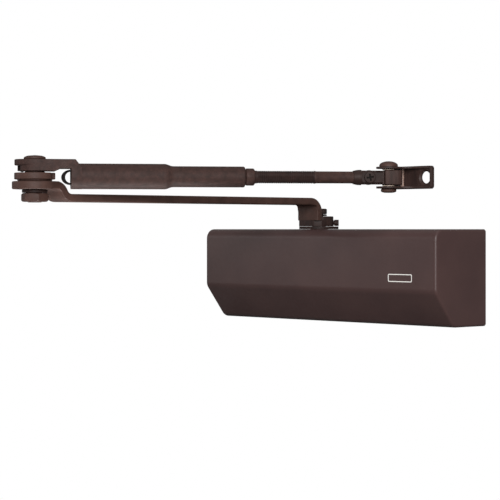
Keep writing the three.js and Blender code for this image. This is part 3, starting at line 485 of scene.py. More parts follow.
BRASS = node_material(
    "brass", (190, 152, 84), (160, 122, 62), 0.33,
    metallic=1.0, blotch=110, grain=1500, speckle=0.4, bump=0.3, depth=0.00004)
RUBBER = node_material(
    "seal_rubber", (30, 30, 30), (20, 20, 20), 0.72,
    specular=0.35, grain=1700, speckle=0.5, bump=0.5, depth=0.00005)
NYLON = node_material(
    "washer_nylon", (186, 170, 154), (166, 150, 134), 0.5,
    speckle=0.3, bump=0.3, depth=0.00004)
PRINT = node_material(
    "print_white", (226, 224, 220), (206, 203, 198), 0.5,
    grain=2600, speckle=0.4, bump=0.3, depth=0.00002)


# ---- Cover ----

COVER_LEFT, COVER_RIGHT = span("cover_shell", 0)
COVER_FRONT, COVER_BACK = span("cover_shell", 1)
COVER_BOTTOM, COVER_TOP = span("cover_shell", 2)
COVER_WALL = 2.2
SLOPE_RISE, SLOPE_RUN = 29.4, 22.5
TOP_ROUND, KNEE_ROUND, FOOT_ROUND, END_ROUND = 8.5, 9.0, 9.0, 2.4
SLOT_RADIUS = 18.6


def cover_section(depth):
    """The cover's open section in Y and Z, from its rear top edge round to its rear foot."""
    slope = math.atan2(SLOPE_RISE, SLOPE_RUN)
    knee = COVER_BOTTOM + SLOPE_RISE + depth * math.tan((math.pi / 2 - slope) / 2)
    front, bottom = COVER_FRONT + depth, COVER_BOTTOM + depth
    foot = front + (knee - bottom) / math.tan(slope)
    return arcs([
        (COVER_BACK, COVER_TOP - depth, 0),
        (front, COVER_TOP - depth, TOP_ROUND - depth),
        (front, knee, KNEE_ROUND - depth),
        (foot, bottom, FOOT_ROUND - depth),
        (COVER_BACK, bottom, 0),
    ], closed=False, steps=12)


def cover_shell():
    work = bmesh.new()

    def rows(stations):
        made = []
        for x, depth in stations:
            made.append([work.verts.new((x, y, z)) for y, z in cover_section(depth)])
        for before, after in zip(made, made[1:]):
            for i in range(len(before) - 1):
                work.faces.new((before[i], before[i + 1], after[i + 1], after[i]))
        work.faces.new(made[0])
        work.faces.new(made[-1])

    quarter = [math.pi / 2 * i / 6 for i in range(7)]
    right = [(COVER_RIGHT - END_ROUND * (1 - math.sin(a)), END_ROUND * (1 - math.cos(a)))
             for a in quarter]
    left = [(COVER_LEFT + COVER_RIGHT - x, depth) for x, depth in reversed(right)]
    rows(left + right)
    rows([(COVER_LEFT + COVER_WALL, COVER_WALL), (COVER_RIGHT - COVER_WALL, COVER_WALL)])
    edges = [edge for edge in work.edges if edge.is_boundary]
    bmesh.ops.triangle_fill(work, edges=edges, use_beauty=True)
    mesh = bpy.data.meshes.new("cover")
    work.to_mesh(mesh)
    work.free()
    tidy(mesh)
    shell = bpy.data.objects.new("cover", mesh)
    bpy.context.scene.collection.objects.link(shell)
    slot = arc(0, 0, SLOT_RADIUS, 180, 360, 40)
    slot += [(SLOT_RADIUS, 60), (-SLOT_RADIUS, 60)]
    return cut(shell, moved(slab(slot, 20, 60, 0), AT_SPINDLE))


finish(cover_shell(), "cover", "cover", COVER_PAINT, ("cover_shell",), sharp=40)


def printed_frame():
    """A plain frame, where a maker would put a name."""
    right, bottom, wide, high, line = 116.6, -3.3, 27.0, 6.6, 0.7
    outer = rounded_rectangle(right - wide, bottom, right, bottom + high, 1.2)
    inner = rounded_rectangle(
        right - wide + line, bottom + line, right - line, bottom + high - line, 0.6)
    place = shift(y=COVER_FRONT - 0.03) @ ACROSS
    return cut(moved(slab(outer, -0.02, 0.05, 0), place), moved(slab(inner, -1, 1, 0), place))


finish(printed_frame(), "cover_print", "cover", PRINT)


# ---- Mounting plate ----

PLATE_LEFT, PLATE_RIGHT = span("mounting_plate", 0)
PLATE_BOTTOM, PLATE_TOP = span("mounting_plate", 2)
PLATE_THICKNESS, DOOR_HOLE, SCREW_HOLE = 3.0, 3.2, 2.7
DOOR_HOLES = [(side * 122.0, level * 26.0) for side in (-1, 1) for level in (-1, 1)]
SCREW_PLACES = {}
for number in (1, 2, 3, 4):
    middle = centre(f"body_screw_{number}")
    SCREW_PLACES[f"body_screw_{number}"] = (middle.x, middle.z)


def mounting_plate():
    outline = rounded_rectangle(PLATE_LEFT, PLATE_BOTTOM, PLATE_RIGHT, PLATE_TOP, 6)
    made = solid(moved(slab(outline, 0, PLATE_THICKNESS, 0.35), ACROSS))
    for side in (-1, 1):
        edge = PLATE_RIGHT if side > 0 else PLATE_LEFT
        low, high = sorted((edge, edge - 2 * side))
        tab = moved(slab(rounded_rectangle(2.6, -15, 12, 15, 3), low, high, 0.3),
                    Matrix(((0, 0, 1, 0), (-1, 0, 0, 0), (0, 1, 0, 0), (0, 0, 0, 1))))
        combine(made, tab, "UNION")
    for x, z in DOOR_HOLES:
        combine(made, drill(DOOR_HOLE, x, z, -5, 5, 40), "DIFFERENCE")
    for x, z in SCREW_PLACES.values():
        combine(made, drill(SCREW_HOLE, x, z, -5, 5), "DIFFERENCE")
    return made


finish(mounting_plate(), "plate", "base", ZINC, ("mounting_plate",))


# ---- Closer body ----

BODY_LEFT, BODY_RIGHT = span("closer_body", 0)
BODY_HALF, BORE = 24.0, 19.0
FLANGE_LEFT, FLANGE_RIGHT, FLANGE_BACK, FLANGE_FRONT, FLANGE_HALF = -92.0, 103.0, -3.3, -9.3, 34.0
BODY_LOW, BODY_HIGH = span("closer_body", 2)
VALVES = {name: centre(name) for name in ("closing_valve", "latching_valve", "backcheck_valve")}
AT_BORE = shift(0, SPINDLE.y, 0)


def along_bore(shape, x):
    """A shape turned about Z, laid along the bore from x towards +X."""
    return moved(shape, AT_BORE @ shift(x=x) @ ALONG_X)


def closer_body():
    section = rounded_rectangle(-BODY_HALF, -BODY_HALF, BODY_HALF, BODY_HALF, 12, 10)
    barrel = along_bore(slab(section, 0, BODY_RIGHT - BODY_LEFT, 1.0), BODY_LEFT)
    flange_outline = rounded_rectangle(
        FLANGE_LEFT, -FLANGE_HALF, FLANGE_RIGHT, FLANGE_HALF, 5, 6)
    flange = moved(slab(flange_outline, -FLANGE_BACK, -FLANGE_FRONT, 0.8), ACROSS)
    made = union(
        barrel, flange,
        moved(rod(17, 15, BODY_HIGH, 0.8), AT_SPINDLE),
        moved(rod(13, BODY_LOW, -15, 0.8), AT_SPINDLE))
    made = cut(
        made,
        along_bore(rod(BORE, -1, BODY_RIGHT - BODY_LEFT + 1), BODY_LEFT),
        moved(rod(12.3, 0, 36), AT_SPINDLE),
        moved(rod(14.3, 35.1, BODY_HIGH + 2), AT_SPINDLE),
        moved(rod(10.9, BODY_LOW - 2, 0), AT_SPINDLE))
    for middle in VALVES.values():
        hole = moved(rod(3.6, -1, 30, segments=32), shift(BODY_LEFT, middle.y, middle.z) @ ALONG_X)
        combine(made, hole, "DIFFERENCE")
    for x, z in SCREW_PLACES.values():
        combine(made, drill(SCREW_HOLE, x, z, 0, 20), "DIFFERENCE")
    return made


finish(closer_body(), "body_casting", "base", CAST, ("closer_body",), edge=0.35)


def socket_screw(shank, head, start, seat, top, hexagon, deep):
    """A round screw head with a hexagon recess, its shank below it."""
    screw = lathe(softened(
        [(0, start), (shank, start), (shank, seat), (head, seat), (head, top), (0, top)], 0.4))
    return cut(screw, slab(polygon(6, hexagon), top - deep, top + 2, 0))


for name, (x, z) in SCREW_PLACES.items():
    back, front = span(name, 1)[1], span(name, 1)[0]
    made = socket_screw(2.3, 4.2, -back, -front - 4.5, -front, 4, 2.5)
    finish(made, name + "_detail", "base", ZINC, (name,), shift(x, 0, z) @ ACROSS)


def end_cap(hole):
    profile = softened([
        (0, 0), (18.6, 0), (18.6, 4), (16.2, 4), (16.2, 8.4), (18.6, 8.4), (18.6, 12),
        (19.8, 12), (19.8, 16.2, 1.0), (0, 16.2)], 0.25)
    cap = solid(lathe(profile, 72))
    if hole:
        return cut(cap, rod(hole, -1, 30))
    return cut(cap, slab(polygon(6, 12), 10.7, 30, 0))


finish(end_cap(0), "left_cap", "base", ZINC, ("left_end_cap",),
       AT_BORE @ shift(x=BODY_LEFT + 11.7) @ spin(180) @ ALONG_X, edge=0.2)
finish(end_cap(5.3), "right_cap", "base", ZINC, ("right_end_cap",),
       AT_BORE @ shift(x=BODY_RIGHT - 11.7) @ ALONG_X, edge=0.2)

adjuster_start, adjuster_end = span("spring_adjuster", 0)
finish(
    socket_screw(5, 7.8, 0, adjuster_end - adjuster_start - 4.6, adjuster_end - adjuster_start,
                 6, 4.4),
    "adjuster_screw", "spring_adjuster_body", ZINC, ("spring_adjuster",),
    AT_BORE @ shift(x=adjuster_start) @ ALONG_X)


def needle_valve():
    needle = lathe(softened([
        (0, 0), (3.2, 0), (3.2, 4), (2.3, 4), (2.3, 6), (3.2, 6), (3.2, 16), (1.6, 18),
        (1.6, 24), (0, 27)], 0.2), 40)
    return cut(needle, box((-5, -0.5, -1), (5, 0.5, 1.6)))


for name, middle in VALVES.items():
    finish(needle_valve(), name + "_screw", name + "_body", BRASS, (name,),
           shift(span(name, 0)[0], middle.y, middle.z) @ ALONG_X)


def upper_gland():
    bottom, top = span("upper_gland", 2)
    made = solid(ring(8.4, 14, bottom, top, 0.4))
    for side in (-1, 1):
        combine(made, moved(rod(1.2, top - 2.5, top + 1, segments=24), shift(x=11.2 * side)),
                "DIFFERENCE")
    return made


finish(upper_gland(), "gland_ring", "base", BRASS, ("upper_gland",), AT_SPINDLE)
low, high = span("lower_plug", 2)
finish(cut(rod(10.6, low, high, 0.4), slab(polygon(6, 8), low - 1, low + 2.6, 0)),
       "bottom_plug", "base", BRASS, ("lower_plug",), AT_SPINDLE)


# ---- Main spring ----

def main_spring():
    """Round wire wound as a compression spring, its end coils closer together."""
    start, end = span("main_spring", 0)
    mean, wire, coils = 15.3, 2.4, 8
    height = end - start - 2 * wire
    rows, around = coils * 36, 14
    points, rings = [], []
    for row in range(rows + 1):
        share = row / rows
        turn = 2 * math.pi * coils * share
        rise = share - math.sin(2 * math.pi * share) / (2 * math.pi) * 0.35
        middle = Vector((mean * math.cos(turn), mean * math.sin(turn), wire + height * rise))
        outward = Vector((math.cos(turn), math.sin(turn), 0))
        rings.append(list(range(len(points), len(points) + around)))
        for i in range(around):
            a = 2 * math.pi * i / around
            points.append(tuple(
                middle + outward * wire * math.cos(a) + Vector((0, 0, wire * math.sin(a)))))
    return along_bore(capped(points, rings), start)


finish(main_spring(), "coil_spring", "base", SPRING_STEEL, ("main_spring",))


# ---- Spindle top and main arm ----

low, high = span("dust_ring", 2)
FLANGE_BORE, FLANGE_RADIUS = 8.4, 17.6
finish(ring(FLANGE_BORE, FLANGE_RADIUS, low - 0.1, high + 0.25, 0.12, 72),
       "spindle_flange", "main_arm_body", DARK_PAINT, ("dust_ring",), AT_SPINDLE)

ARM_LENGTH = SPINDLE.y - ELBOW.y
ARM_THICKNESS, ARM_HALF, ELBOW_RADIUS = 6.2, 12.7, 17.8
HUB_RADIUS, HUB_BOTTOM, HUB_TOP, CLAMP_Z = 13.3, 43.4, 49.1, 46.5
BOSS_RADIUS, BOLT_HOLE, SQUARE_HOLE = 13.0, 6.3, 13.0
HUB_FRONT, HUB_FRONT_HALF, FACET_START, FACET_HALF = 13.4, 12, 8.2, 6.7
BAR_Z, ELBOW_Z, RISER_AT = 65.45, 75.15, 11.1
RISER_BEND, RISER_INNER, JOGGLE_BEND, JOGGLE_START, JOGGLE_END = 9.9, 3.0, 8.0, 22.9, 17.3


def arm_half_width(x):
    """Half the bar's width: even, then flared into the round elbow plate."""
    tip = math.sqrt(max(ELBOW_RADIUS ** 2 - (x - ARM_LENGTH) ** 2, 0))
    flare_start, flare_end = ARM_LENGTH - 17, ARM_LENGTH - 8
    share = min(max((x - flare_start) / (flare_end - flare_start), 0), 1)
    return max(ARM_HALF + share * (ELBOW_RADIUS - 2 - ARM_HALF), tip)


def arm_plate():
    """The bent bar: a rounded section swept along the centre line, with a round end in plan."""
    edge, half = 1.1, ARM_THICKNESS / 2
    quarter = [math.pi / 2 * i / 4 for i in range(5)]
    low = [(-half + edge - edge * math.cos(a), edge - edge * math.sin(a)) for a in quarter]
    layers = low + [(-height, back) for height, back in reversed(low)]
    line = arcs([
        (RISER_AT, HUB_TOP - 0.4, 0), (RISER_AT, BAR_Z, RISER_BEND),
        (ARM_LENGTH - JOGGLE_START, BAR_Z, JOGGLE_BEND),
        (ARM_LENGTH - JOGGLE_END, ELBOW_Z, JOGGLE_BEND), (ARM_LENGTH, ELBOW_Z, 0),
    ], closed=False, steps=14)
    rings, points = [], []

    def add_ring(right):
        """right: the (x, y, z) points up one side; the other side mirrors them."""
        rings.append(list(range(len(points), len(points) + 2 * len(right))))
        points.extend(right)
        points.extend((x, -y, z) for x, y, z in reversed(right))

    dense = []
    for (x0, z0), (x1, z1) in zip(line, line[1:]):
        parts = max(1, int(math.hypot(x1 - x0, z1 - z0) / 3))
        dense += [(x0 + (x1 - x0) * k / parts, z0 + (z1 - z0) * k / parts) for k in range(parts)]
    dense.append(line[-1])
    for i, (x, z) in enumerate(dense):
        before, after = dense[max(i - 1, 0)], dense[min(i + 1, len(dense) - 1)]
        along = Vector((after[0] - before[0], after[1] - before[1])).normalized()
        ring_points = []
        for v, back in layers:
            px, pz = x - along.y * v, z + along.x * v
            ring_points.append((px, arm_half_width(px) - back, pz))
        add_ring(ring_points)
    for degrees in range(84, -1, -6):
        reach, wide = math.cos(math.radians(degrees)), math.sin(math.radians(degrees))
        add_ring([(ARM_LENGTH + (ELBOW_RADIUS - back) * reach, (ELBOW_RADIUS - back) * wide,
                   ELBOW_Z + v) for v, back in layers])
    return points, rings_to_faces(rings, False) + [rings[0][::-1]]


def main_arm():
    """The bent bar on its hub; one of the hub's front corners is cut off below the riser."""
    boss_top = span("arm_washer", 2)[0] - 0.3
    boss = common(rod(BOSS_RADIUS, HUB_TOP - 1, boss_top, 0.7, 72),
                  box((-20, -20, 0), (RISER_AT, 20, 100)))
    hub_outline = arc(0, 0, HUB_RADIUS, 90, 270, 40) + softened(
        [(0, -HUB_RADIUS), (HUB_FRONT, -HUB_FRONT_HALF), (HUB_FRONT, FACET_HALF),
         (FACET_START, HUB_FRONT_HALF), (0, HUB_RADIUS)], 0.7)[1:-1]
    wall = RISER_AT + ARM_THICKNESS / 2 + 0.02
    ceiling = BAR_Z - ARM_THICKNESS / 2 - 0.02
    corner = rounded_rectangle(wall, HUB_TOP - 0.2, 40, ceiling, RISER_INNER)
    bar = cut(arm_plate(), moved(slab(corner, -60, 60, 0), ACROSS))
    made = union(bar, slab(hub_outline, HUB_BOTTOM, HUB_TOP, 0.12), boss)
    square = slab(polygon(4, SQUARE_HOLE, 0), 30, 60, 0)
    bolt = moved(rod(BOLT_HOLE, 60, 90), shift(x=ARM_LENGTH))
    screw = moved(rod(2, 7, 30, segments=24), shift(z=CLAMP_Z) @ spin(135) @ ALONG_X)
    return cut(made, square, bolt, screw)


def on_hub_or_boss(at):
    behind_riser = at.x < RISER_AT - ARM_THICKNESS / 2 - 0.4
    return at.z < HUB_TOP + 0.1 or (behind_riser and at.z < HUB_TOP + 3.9)


arm_piece = finish(main_arm(), "arm_bar", "main_arm_body", ARM_PAINT, ("main_arm",), ALONG_ARM)
paint_where(arm_piece, ALONG_ARM, on_hub_or_boss, SHOE_PAINT)


def hexagon(across_flats, bottom, top, turn=0.0):
    """A hexagon with its corners turned off above and below."""
    corner = across_flats / 2 / math.cos(math.pi / 6)
    flat = across_flats / 2 * 0.96
    chamfer = (corner - flat) * 0.55
    blank = lathe([(0, bottom), (flat, bottom), (corner, bottom + chamfer),
                   (corner, top - chamfer), (flat, top), (0, top)], 96)
    return common(slab(polygon(6, across_flats, turn), bottom - 1, top + 1, 0), blank)


low, high = span("arm_washer", 2)
finish(ring(4.2, 7.1, low, high, 0.3), "hub_washer", "main_arm_body", DARK_PAINT,
       ("arm_washer",), AT_SPINDLE)
low, high = span("arm_screw", 2)
finish(union(hexagon(13, high - 5, high), rod(3.7, low, high - 4)), "hub_screw",
       "main_arm_body", DARK_PAINT, ("arm_screw",), AT_SPINDLE, edge=0.18)
finish(socket_screw(1.7, 2.8, 8.2, 13.7, 17.8, 2.5, 2), "hub_clamp_screw", "main_arm_body",
       DARK_PAINT, ("clamp_screw",), AT_SPINDLE @ shift(z=CLAMP_Z) @ spin(45) @ ALONG_X)


# ---- Elbow ----

low, high = span("elbow_bolt", 2)
finish(
    lathe(softened([
        (0, low), (5.2, low), (6, low + 0.8), (6, high - 3), (8.6, high - 3, 0.4),
        (8.6, high - 1.7, 1.2), (6.2, high - 0.5, 2), (0, high)], 0.3, steps=6), 72),
    "elbow_rivet", "main_arm_body", ARM_PAINT, ("elbow_bolt",), AT_ELBOW)

BALL_AT = 9.8
DISC_RADIUS, LOW_FACE, HIGH_FACE = 16, 13.6, 7.8
NOTCH_FLOOR, NOTCH_HALF, NOTCH_TURN = 12.8, 3.6, 30


def hold_open_disc():
    bottom, top = span("hold_open_disc", 2)
    rim_bottom, rim_top = bottom + 1.15, top - 1
    disc = lathe(softened([
        (BOLT_HOLE, bottom), (LOW_FACE, bottom), (LOW_FACE, rim_bottom, 0.3),
        (DISC_RADIUS, rim_bottom), (DISC_RADIUS, rim_top), (HIGH_FACE, rim_top, 0.3),
        (HIGH_FACE, top), (BOLT_HOLE, top)], 0.7, closed=True), 96, closed=True)
    notch = moved(box((NOTCH_FLOOR, -NOTCH_HALF, bottom - 3), (20, NOTCH_HALF, top + 3)),
                  spin(NOTCH_TURN))
    detent = moved(rod(2.2, top - 2.2, top + 3, segments=32),
                   spin(math.degrees(YAW) + 180) @ shift(x=BALL_AT))
    return cut(disc, notch, detent)


finish(hold_open_disc(), "detent_disc", "hold_open_body", ARM_PAINT, ("hold_open_disc",),
       AT_ELBOW, edge=0.2)
low, high = span("elbow_washer", 2)
finish(ring(BOLT_HOLE, 10, low, high, 0.4), "joint_washer", "main_arm_body", DARK_PAINT,
       ("elbow_washer",), AT_ELBOW)
low, high = span("elbow_nut", 2)
NUT_FLATS, NUT_TURN = 19, -20
finish(cut(hexagon(NUT_FLATS, low, high), rod(BOLT_HOLE, low - 2, high + 2)), "joint_nut",
       "main_arm_body", ARM_PAINT, ("elbow_nut",), AT_ELBOW @ spin(NUT_TURN), edge=0.2)


# ---- Forearm ----

LUG_TOP, LUG_BOTTOM, LUG_HALF, LUG_REAR = 95.4, 90.6, 13.4, 15.8
DEEP_BOTTOM, DEEP_END, RELIEF_START, RELIEF_Z = 86.2, 15.5, 20.0, 88.2
BLOCK_START, TUBE_START, TUBE_RADIUS = 28.0, 36.5, 10.05
SHOULDER_HALF = TUBE_RADIUS + 0.1
POCKET_FLOOR, POCKET_TURN = 11.4, 202
LOOP_REACH, LOOP_HOLE = 7.4, 4.4
NECK, SLEEVE_START, SLEEVE_RADIUS, SLEEVE_END = 103.0, 107.5, 8.3, 166.0
BORE_START, BORE_RADIUS = 56.0, 5.5


def tie_loop():
    """Half a flat ring standing out from the shoulder."""
    z = ROD_Z - 0.9
    turns = [math.radians(90 + 180 * i / 24) for i in range(25)]

    def half_ring(reach, high, into):
        curve = [(BLOCK_START + reach * math.cos(a), z + high * math.sin(a)) for a in turns]
        return [(BLOCK_START + into, z + high)] + curve + [(BLOCK_START + into, z - high)]

    return cut(
        moved(slab(half_ring(LOOP_REACH, 6, 1), -1.6, 1.6, 0.5), ACROSS),
        moved(slab(half_ring(LOOP_HOLE, LOOP_HOLE, 2), -5, 5, 0), ACROSS))


def lug_outline(rear):
    """The lug from above: a half ellipse round the bolt that narrows to the shoulder's width."""
    turns = [math.radians(90 + 180 * i / 40) for i in range(41)]
    end = BLOCK_START + 2
    return [(rear * math.cos(a), LUG_HALF * math.sin(a)) for a in turns] + [
        (BLOCK_START, -SHOULDER_HALF), (end, -SHOULDER_HALF), (end, SHOULDER_HALF),
        (BLOCK_START, SHOULDER_HALF)]


def forearm_tube():
    floor = ROD_Z - SHOULDER_HALF - 2
    plate = slab(lug_outline(LUG_REAR), LUG_BOTTOM, LUG_TOP, 0.8, 4)
    relief = [(DEEP_END - 5, 80), (60, 80), (60, RELIEF_Z), (RELIEF_START, RELIEF_Z),
              (DEEP_END, DEEP_BOTTOM), (DEEP_END - 5, DEEP_BOTTOM - 2.2)]
    pocket = moved(box((POCKET_FLOOR, -2, DEEP_BOTTOM + 0.6), (16, 2, LUG_BOTTOM - 0.4)),
                   spin(POCKET_TURN))
    deep = cut(slab(lug_outline(LUG_HALF), DEEP_BOTTOM, LUG_BOTTOM + 1, 0.3, 2), pocket,
               moved(slab(relief, -30, 30, 0), ACROSS))
    side = arcs([
        (BLOCK_START, floor, 0), (TUBE_START, floor, 0), (TUBE_START, LUG_TOP - 6.8, 0.5),
        (TUBE_START - 5.1, LUG_TOP, 1.2), (BLOCK_START - 3, LUG_TOP, 0),
        (BLOCK_START - 3, LUG_BOTTOM, 0), (BLOCK_START, LUG_BOTTOM, 0)], steps=8)
    round_below = union(
        moved(rod(SHOULDER_HALF - 0.01, 10, TUBE_START + 1, segments=96),
              shift(z=ROD_Z) @ ALONG_X),
        box((10, -20, ROD_Z), (TUBE_START + 1, 20, 110)))
    shoulder = common(
        moved(slab(side, -SHOULDER_HALF, SHOULDER_HALF, 0.5, 3), ACROSS), round_below)
    tube = moved(lathe(softened([
        (0, TUBE_START - 4), (TUBE_RADIUS, TUBE_START - 4), (TUBE_RADIUS, NECK, 1.5),
        (SLEEVE_RADIUS, SLEEVE_START, 1.6), (SLEEVE_RADIUS, SLEEVE_END - 0.2, 1.8),
        (BORE_RADIUS, SLEEVE_END), (BORE_RADIUS, BORE_START), (0, BORE_START)], 0.5, steps=6), 96),
        shift(z=ROD_Z) @ ALONG_X)
    made = union(plate, shoulder, deep, tube, tie_loop())
    return cut(
        made, rod(BOLT_HOLE, 80, 100, segments=48),
        moved(rod(2.8, 85, 90.5, segments=24), shift(x=-BALL_AT)))


def in_shadow(at):
    """The tie loop and the small pocket in the lug's rim."""
    turned_to = Matrix.Rotation(math.radians(-POCKET_TURN), 3, "Z") @ at
    in_loop = BLOCK_START - 10 < at.x < BLOCK_START and at.z < RELIEF_Z - 0.4
    in_pocket = (POCKET_FLOOR - 0.1 < turned_to.x < LUG_HALF - 0.1 and abs(turned_to.y) < 2.1
                 and DEEP_BOTTOM + 0.5 < at.z < LUG_BOTTOM - 0.3)
    return in_loop or in_pocket


tube_piece = finish(forearm_tube(), "forearm_body_tube", "forearm_body", TUBE_PAINT,
                    ("forearm_tube",), AT_FOREARM, sharp=18)
paint_where(tube_piece, AT_FOREARM, in_shadow, SHADOW_PAINT)


COLLAR_LENGTH, COLLAR_RADIUS, COLLAR_FLATS, COLLAR_CHAMFER = 7.3, 6.9, 13.2, 0.9


def lock_collar():
    low, high = COLLAR_RADIUS - COLLAR_CHAMFER, COLLAR_LENGTH - COLLAR_CHAMFER
    grip = common(
        slab(polygon(12, COLLAR_FLATS), 0, COLLAR_LENGTH, 0),
        lathe([(0, 0), (low, 0), (COLLAR_RADIUS, COLLAR_CHAMFER), (COLLAR_RADIUS, high),
               (low, COLLAR_LENGTH), (0, COLLAR_LENGTH)], 96))
    return cut(grip, rod(BORE_RADIUS, -1, COLLAR_LENGTH + 1))


finish(lock_collar(), "collar_nut", "collar_body", COLLAR_PAINT, ("lock_collar",),
       ALONG_ROD @ shift(x=SLEEVE_END + 0.3) @ ALONG_X, edge=0.15)

ROD_START, THREAD_START, THREAD_END, ROD_END = 90.0, 176.0, 221.5, 256.0
ROD_RADIUS, THREAD_DEPTH, THREAD_PITCH, THIN_RADIUS = 5.12, 0.55, 1.5, 4.8


def threaded_rod():
    """A rod with a cut thread between its plain ends."""
    around, per_pitch = 40, 6
    rows = int((THREAD_END - THREAD_START) / THREAD_PITCH * per_pitch)
    heights = [THREAD_START + (THREAD_END - THREAD_START) * i / rows for i in range(rows + 1)]
    points, rings = [], []

    def add(height, radius_at):
        rings.append(list(range(len(points), len(points) + around)))
        for i in range(around):
            a, radius = 2 * math.pi * i / around, radius_at(i / around)
            points.append((radius * math.cos(a), radius * math.sin(a), height))

    def plain(radius, height):
        add(height, lambda share: radius)

    def threaded(height):
        def radius_at(share):
            phase = (height / THREAD_PITCH - share) % 1.0
            return ROD_RADIUS - THREAD_DEPTH * (1 - abs(2 * phase - 1))
        add(height, radius_at)

    plain(ROD_RADIUS - 1, ROD_START)
    plain(ROD_RADIUS, ROD_START + 1)
    plain(ROD_RADIUS, THREAD_START - 0.6)
    for height in heights:
        threaded(height)
    plain(ROD_RADIUS, THREAD_END + 0.6)
    plain(ROD_RADIUS, THREAD_END + 1.3)
    plain(THIN_RADIUS, THREAD_END + 1.9)
    plain(THIN_RADIUS, ROD_END)
    return capped(points, rings)


rod_piece = finish(threaded_rod(), "rod_thread", "rod_body", DARK_PAINT, ("forearm_rod",),
                   ALONG_ROD @ ALONG_X, sharp=50)
paint_where(rod_piece, ALONG_ROD @ ALONG_X, lambda at: at.z > THREAD_END + 0.8, COLLAR_PAINT)


# ---- Rod end, swivel block and shoe ----

TILT_AT = PIN_AT - 16.5
FORK_START, FORK_SHOULDER, FORK_END, FORK_RADIUS = 253.5, 257.5, 277.3, 6.15
FORK_FLAT, FORK_RUNOUT, FORK_SLOT, TONGUE_HALF = 4.8, 6.8, 2.6, 2.3
SLOT_REACH, SLOT_HALF, TILT_BORE, PIN_BORE = 2.9, 0.7, 2.5, 3.3


def rod_end():
    """A round barrel with two milled flats that run out round the screw, slotted for the tongue."""
    barrel = lathe(softened([
        (0, FORK_START), (THIN_RADIUS + 0.5, FORK_START), (FORK_RADIUS, FORK_SHOULDER, 1.5),
        (FORK_RADIUS, FORK_END), (0, FORK_END)], 0.5, steps=6), 96)
    millings = []
    for side in (-1, 1):
        disc = moved(rod(FORK_RUNOUT, FORK_FLAT, 12, segments=96),
                     shift(x=TILT_AT) @ spin(180 if side > 0 else 0, "X") @ ACROSS)
        low, high = sorted((side * FORK_FLAT, side * 12))
        millings += [disc, box((TILT_AT, low, -20), (FORK_END + 1, high, 20))]
    return cut(
        moved(barrel, ALONG_X), *millings,
        box((TILT_AT - 6.4, -FORK_SLOT, -20), (FORK_END + 1, FORK_SLOT, 20)),
        drill(TILT_BORE, TILT_AT),
        moved(rod(THIN_RADIUS + 0.2, FORK_START - 1, ROD_END + 0.3), ALONG_X))


finish(rod_end(), "fork_end", "rod_body", DARK_PAINT, ("rod_end",), ALONG_ROD, edge=0.25)


def tilt_screw():
    seat, top = FORK_FLAT + 0.3, FORK_FLAT + 1.8
    screw = lathe(softened([
        (0, -FORK_FLAT), (2.2, -FORK_FLAT), (2.2, seat), (4.6, seat), (4.6, top, 0.7), (0, top)],
        0.2, steps=5), 56)
    reach, half = SLOT_REACH, SLOT_HALF
    slots = [moved(box((-reach, -half, top - 1.1), (reach, half, top + 1)), spin(turn + 10))
             for turn in (0, 90)]
    return cut(screw, *slots)


def in_cross_recess(at):
    on_head = FORK_FLAT + 0.5 < at.z < FORK_FLAT + 1.75
    return on_head and math.hypot(at.x, at.y) < SLOT_REACH + 0.5


SCREW_PLACE = ALONG_ROD @ shift(x=TILT_AT) @ ACROSS
screw_piece = finish(tilt_screw(), "fork_screw", "rod_body", DARK_PAINT, ("tilt_screw",),
                     SCREW_PLACE)
paint_where(screw_piece, SCREW_PLACE, in_cross_recess, SHADOW_PAINT)


def swivel_block():
    left, right, half, high = PIN_AT - 4.3, PIN_AT + 10.5, 7.5, 5.9
    eye_outline = arcs([(left, -half, 1), (right, -half, 5), (right, half, 5), (left, half, 1)])
    eye = slab(eye_outline, -high, high, 0.8, 4)
    neck = 5.3
    tongue = union(
        moved(rod(5.9, -TONGUE_HALF, TONGUE_HALF, 0.4, 72), shift(x=TILT_AT) @ ACROSS),
        box((TILT_AT, -TONGUE_HALF, -neck), (left + 1, TONGUE_HALF, neck)))
    made = union(eye, tongue)
    return cut(
        made, drill(TILT_BORE, TILT_AT, 0, -10, 10),
        moved(rod(PIN_BORE, -20, 20, segments=40), shift(x=PIN_AT)))


finish(swivel_block(), "knuckle_block", "swivel_body", STREAKED_PAINT, ("swivel_block",),
       ALONG_ROD, edge=0.25)


def shoe_pin():
    seat, top, foot = 8.95, 13.2, -12.2
    dome = [(7.5 * math.cos(a), seat + 0.8 + (top - seat - 0.8) * math.sin(a))
            for a in (math.pi / 2 * i / 12 for i in range(12))]
    return lathe(
        softened([(0, foot), (3.5, foot, 1), (6, foot + 0.7, 0.8), (6.4, -seat - 1.2, 0.6),
                  (5.9, -seat), (3, -seat), (3, seat), (7.5, seat)], 0.3) + dome + [(0, top)], 72)


finish(shoe_pin(), "shoe_rivet", "shoe_body", ARM_PAINT, ("shoe_pin",), AT_PIN)

BEAD_X, BEAD_RADIUS = 2.2, 1.6


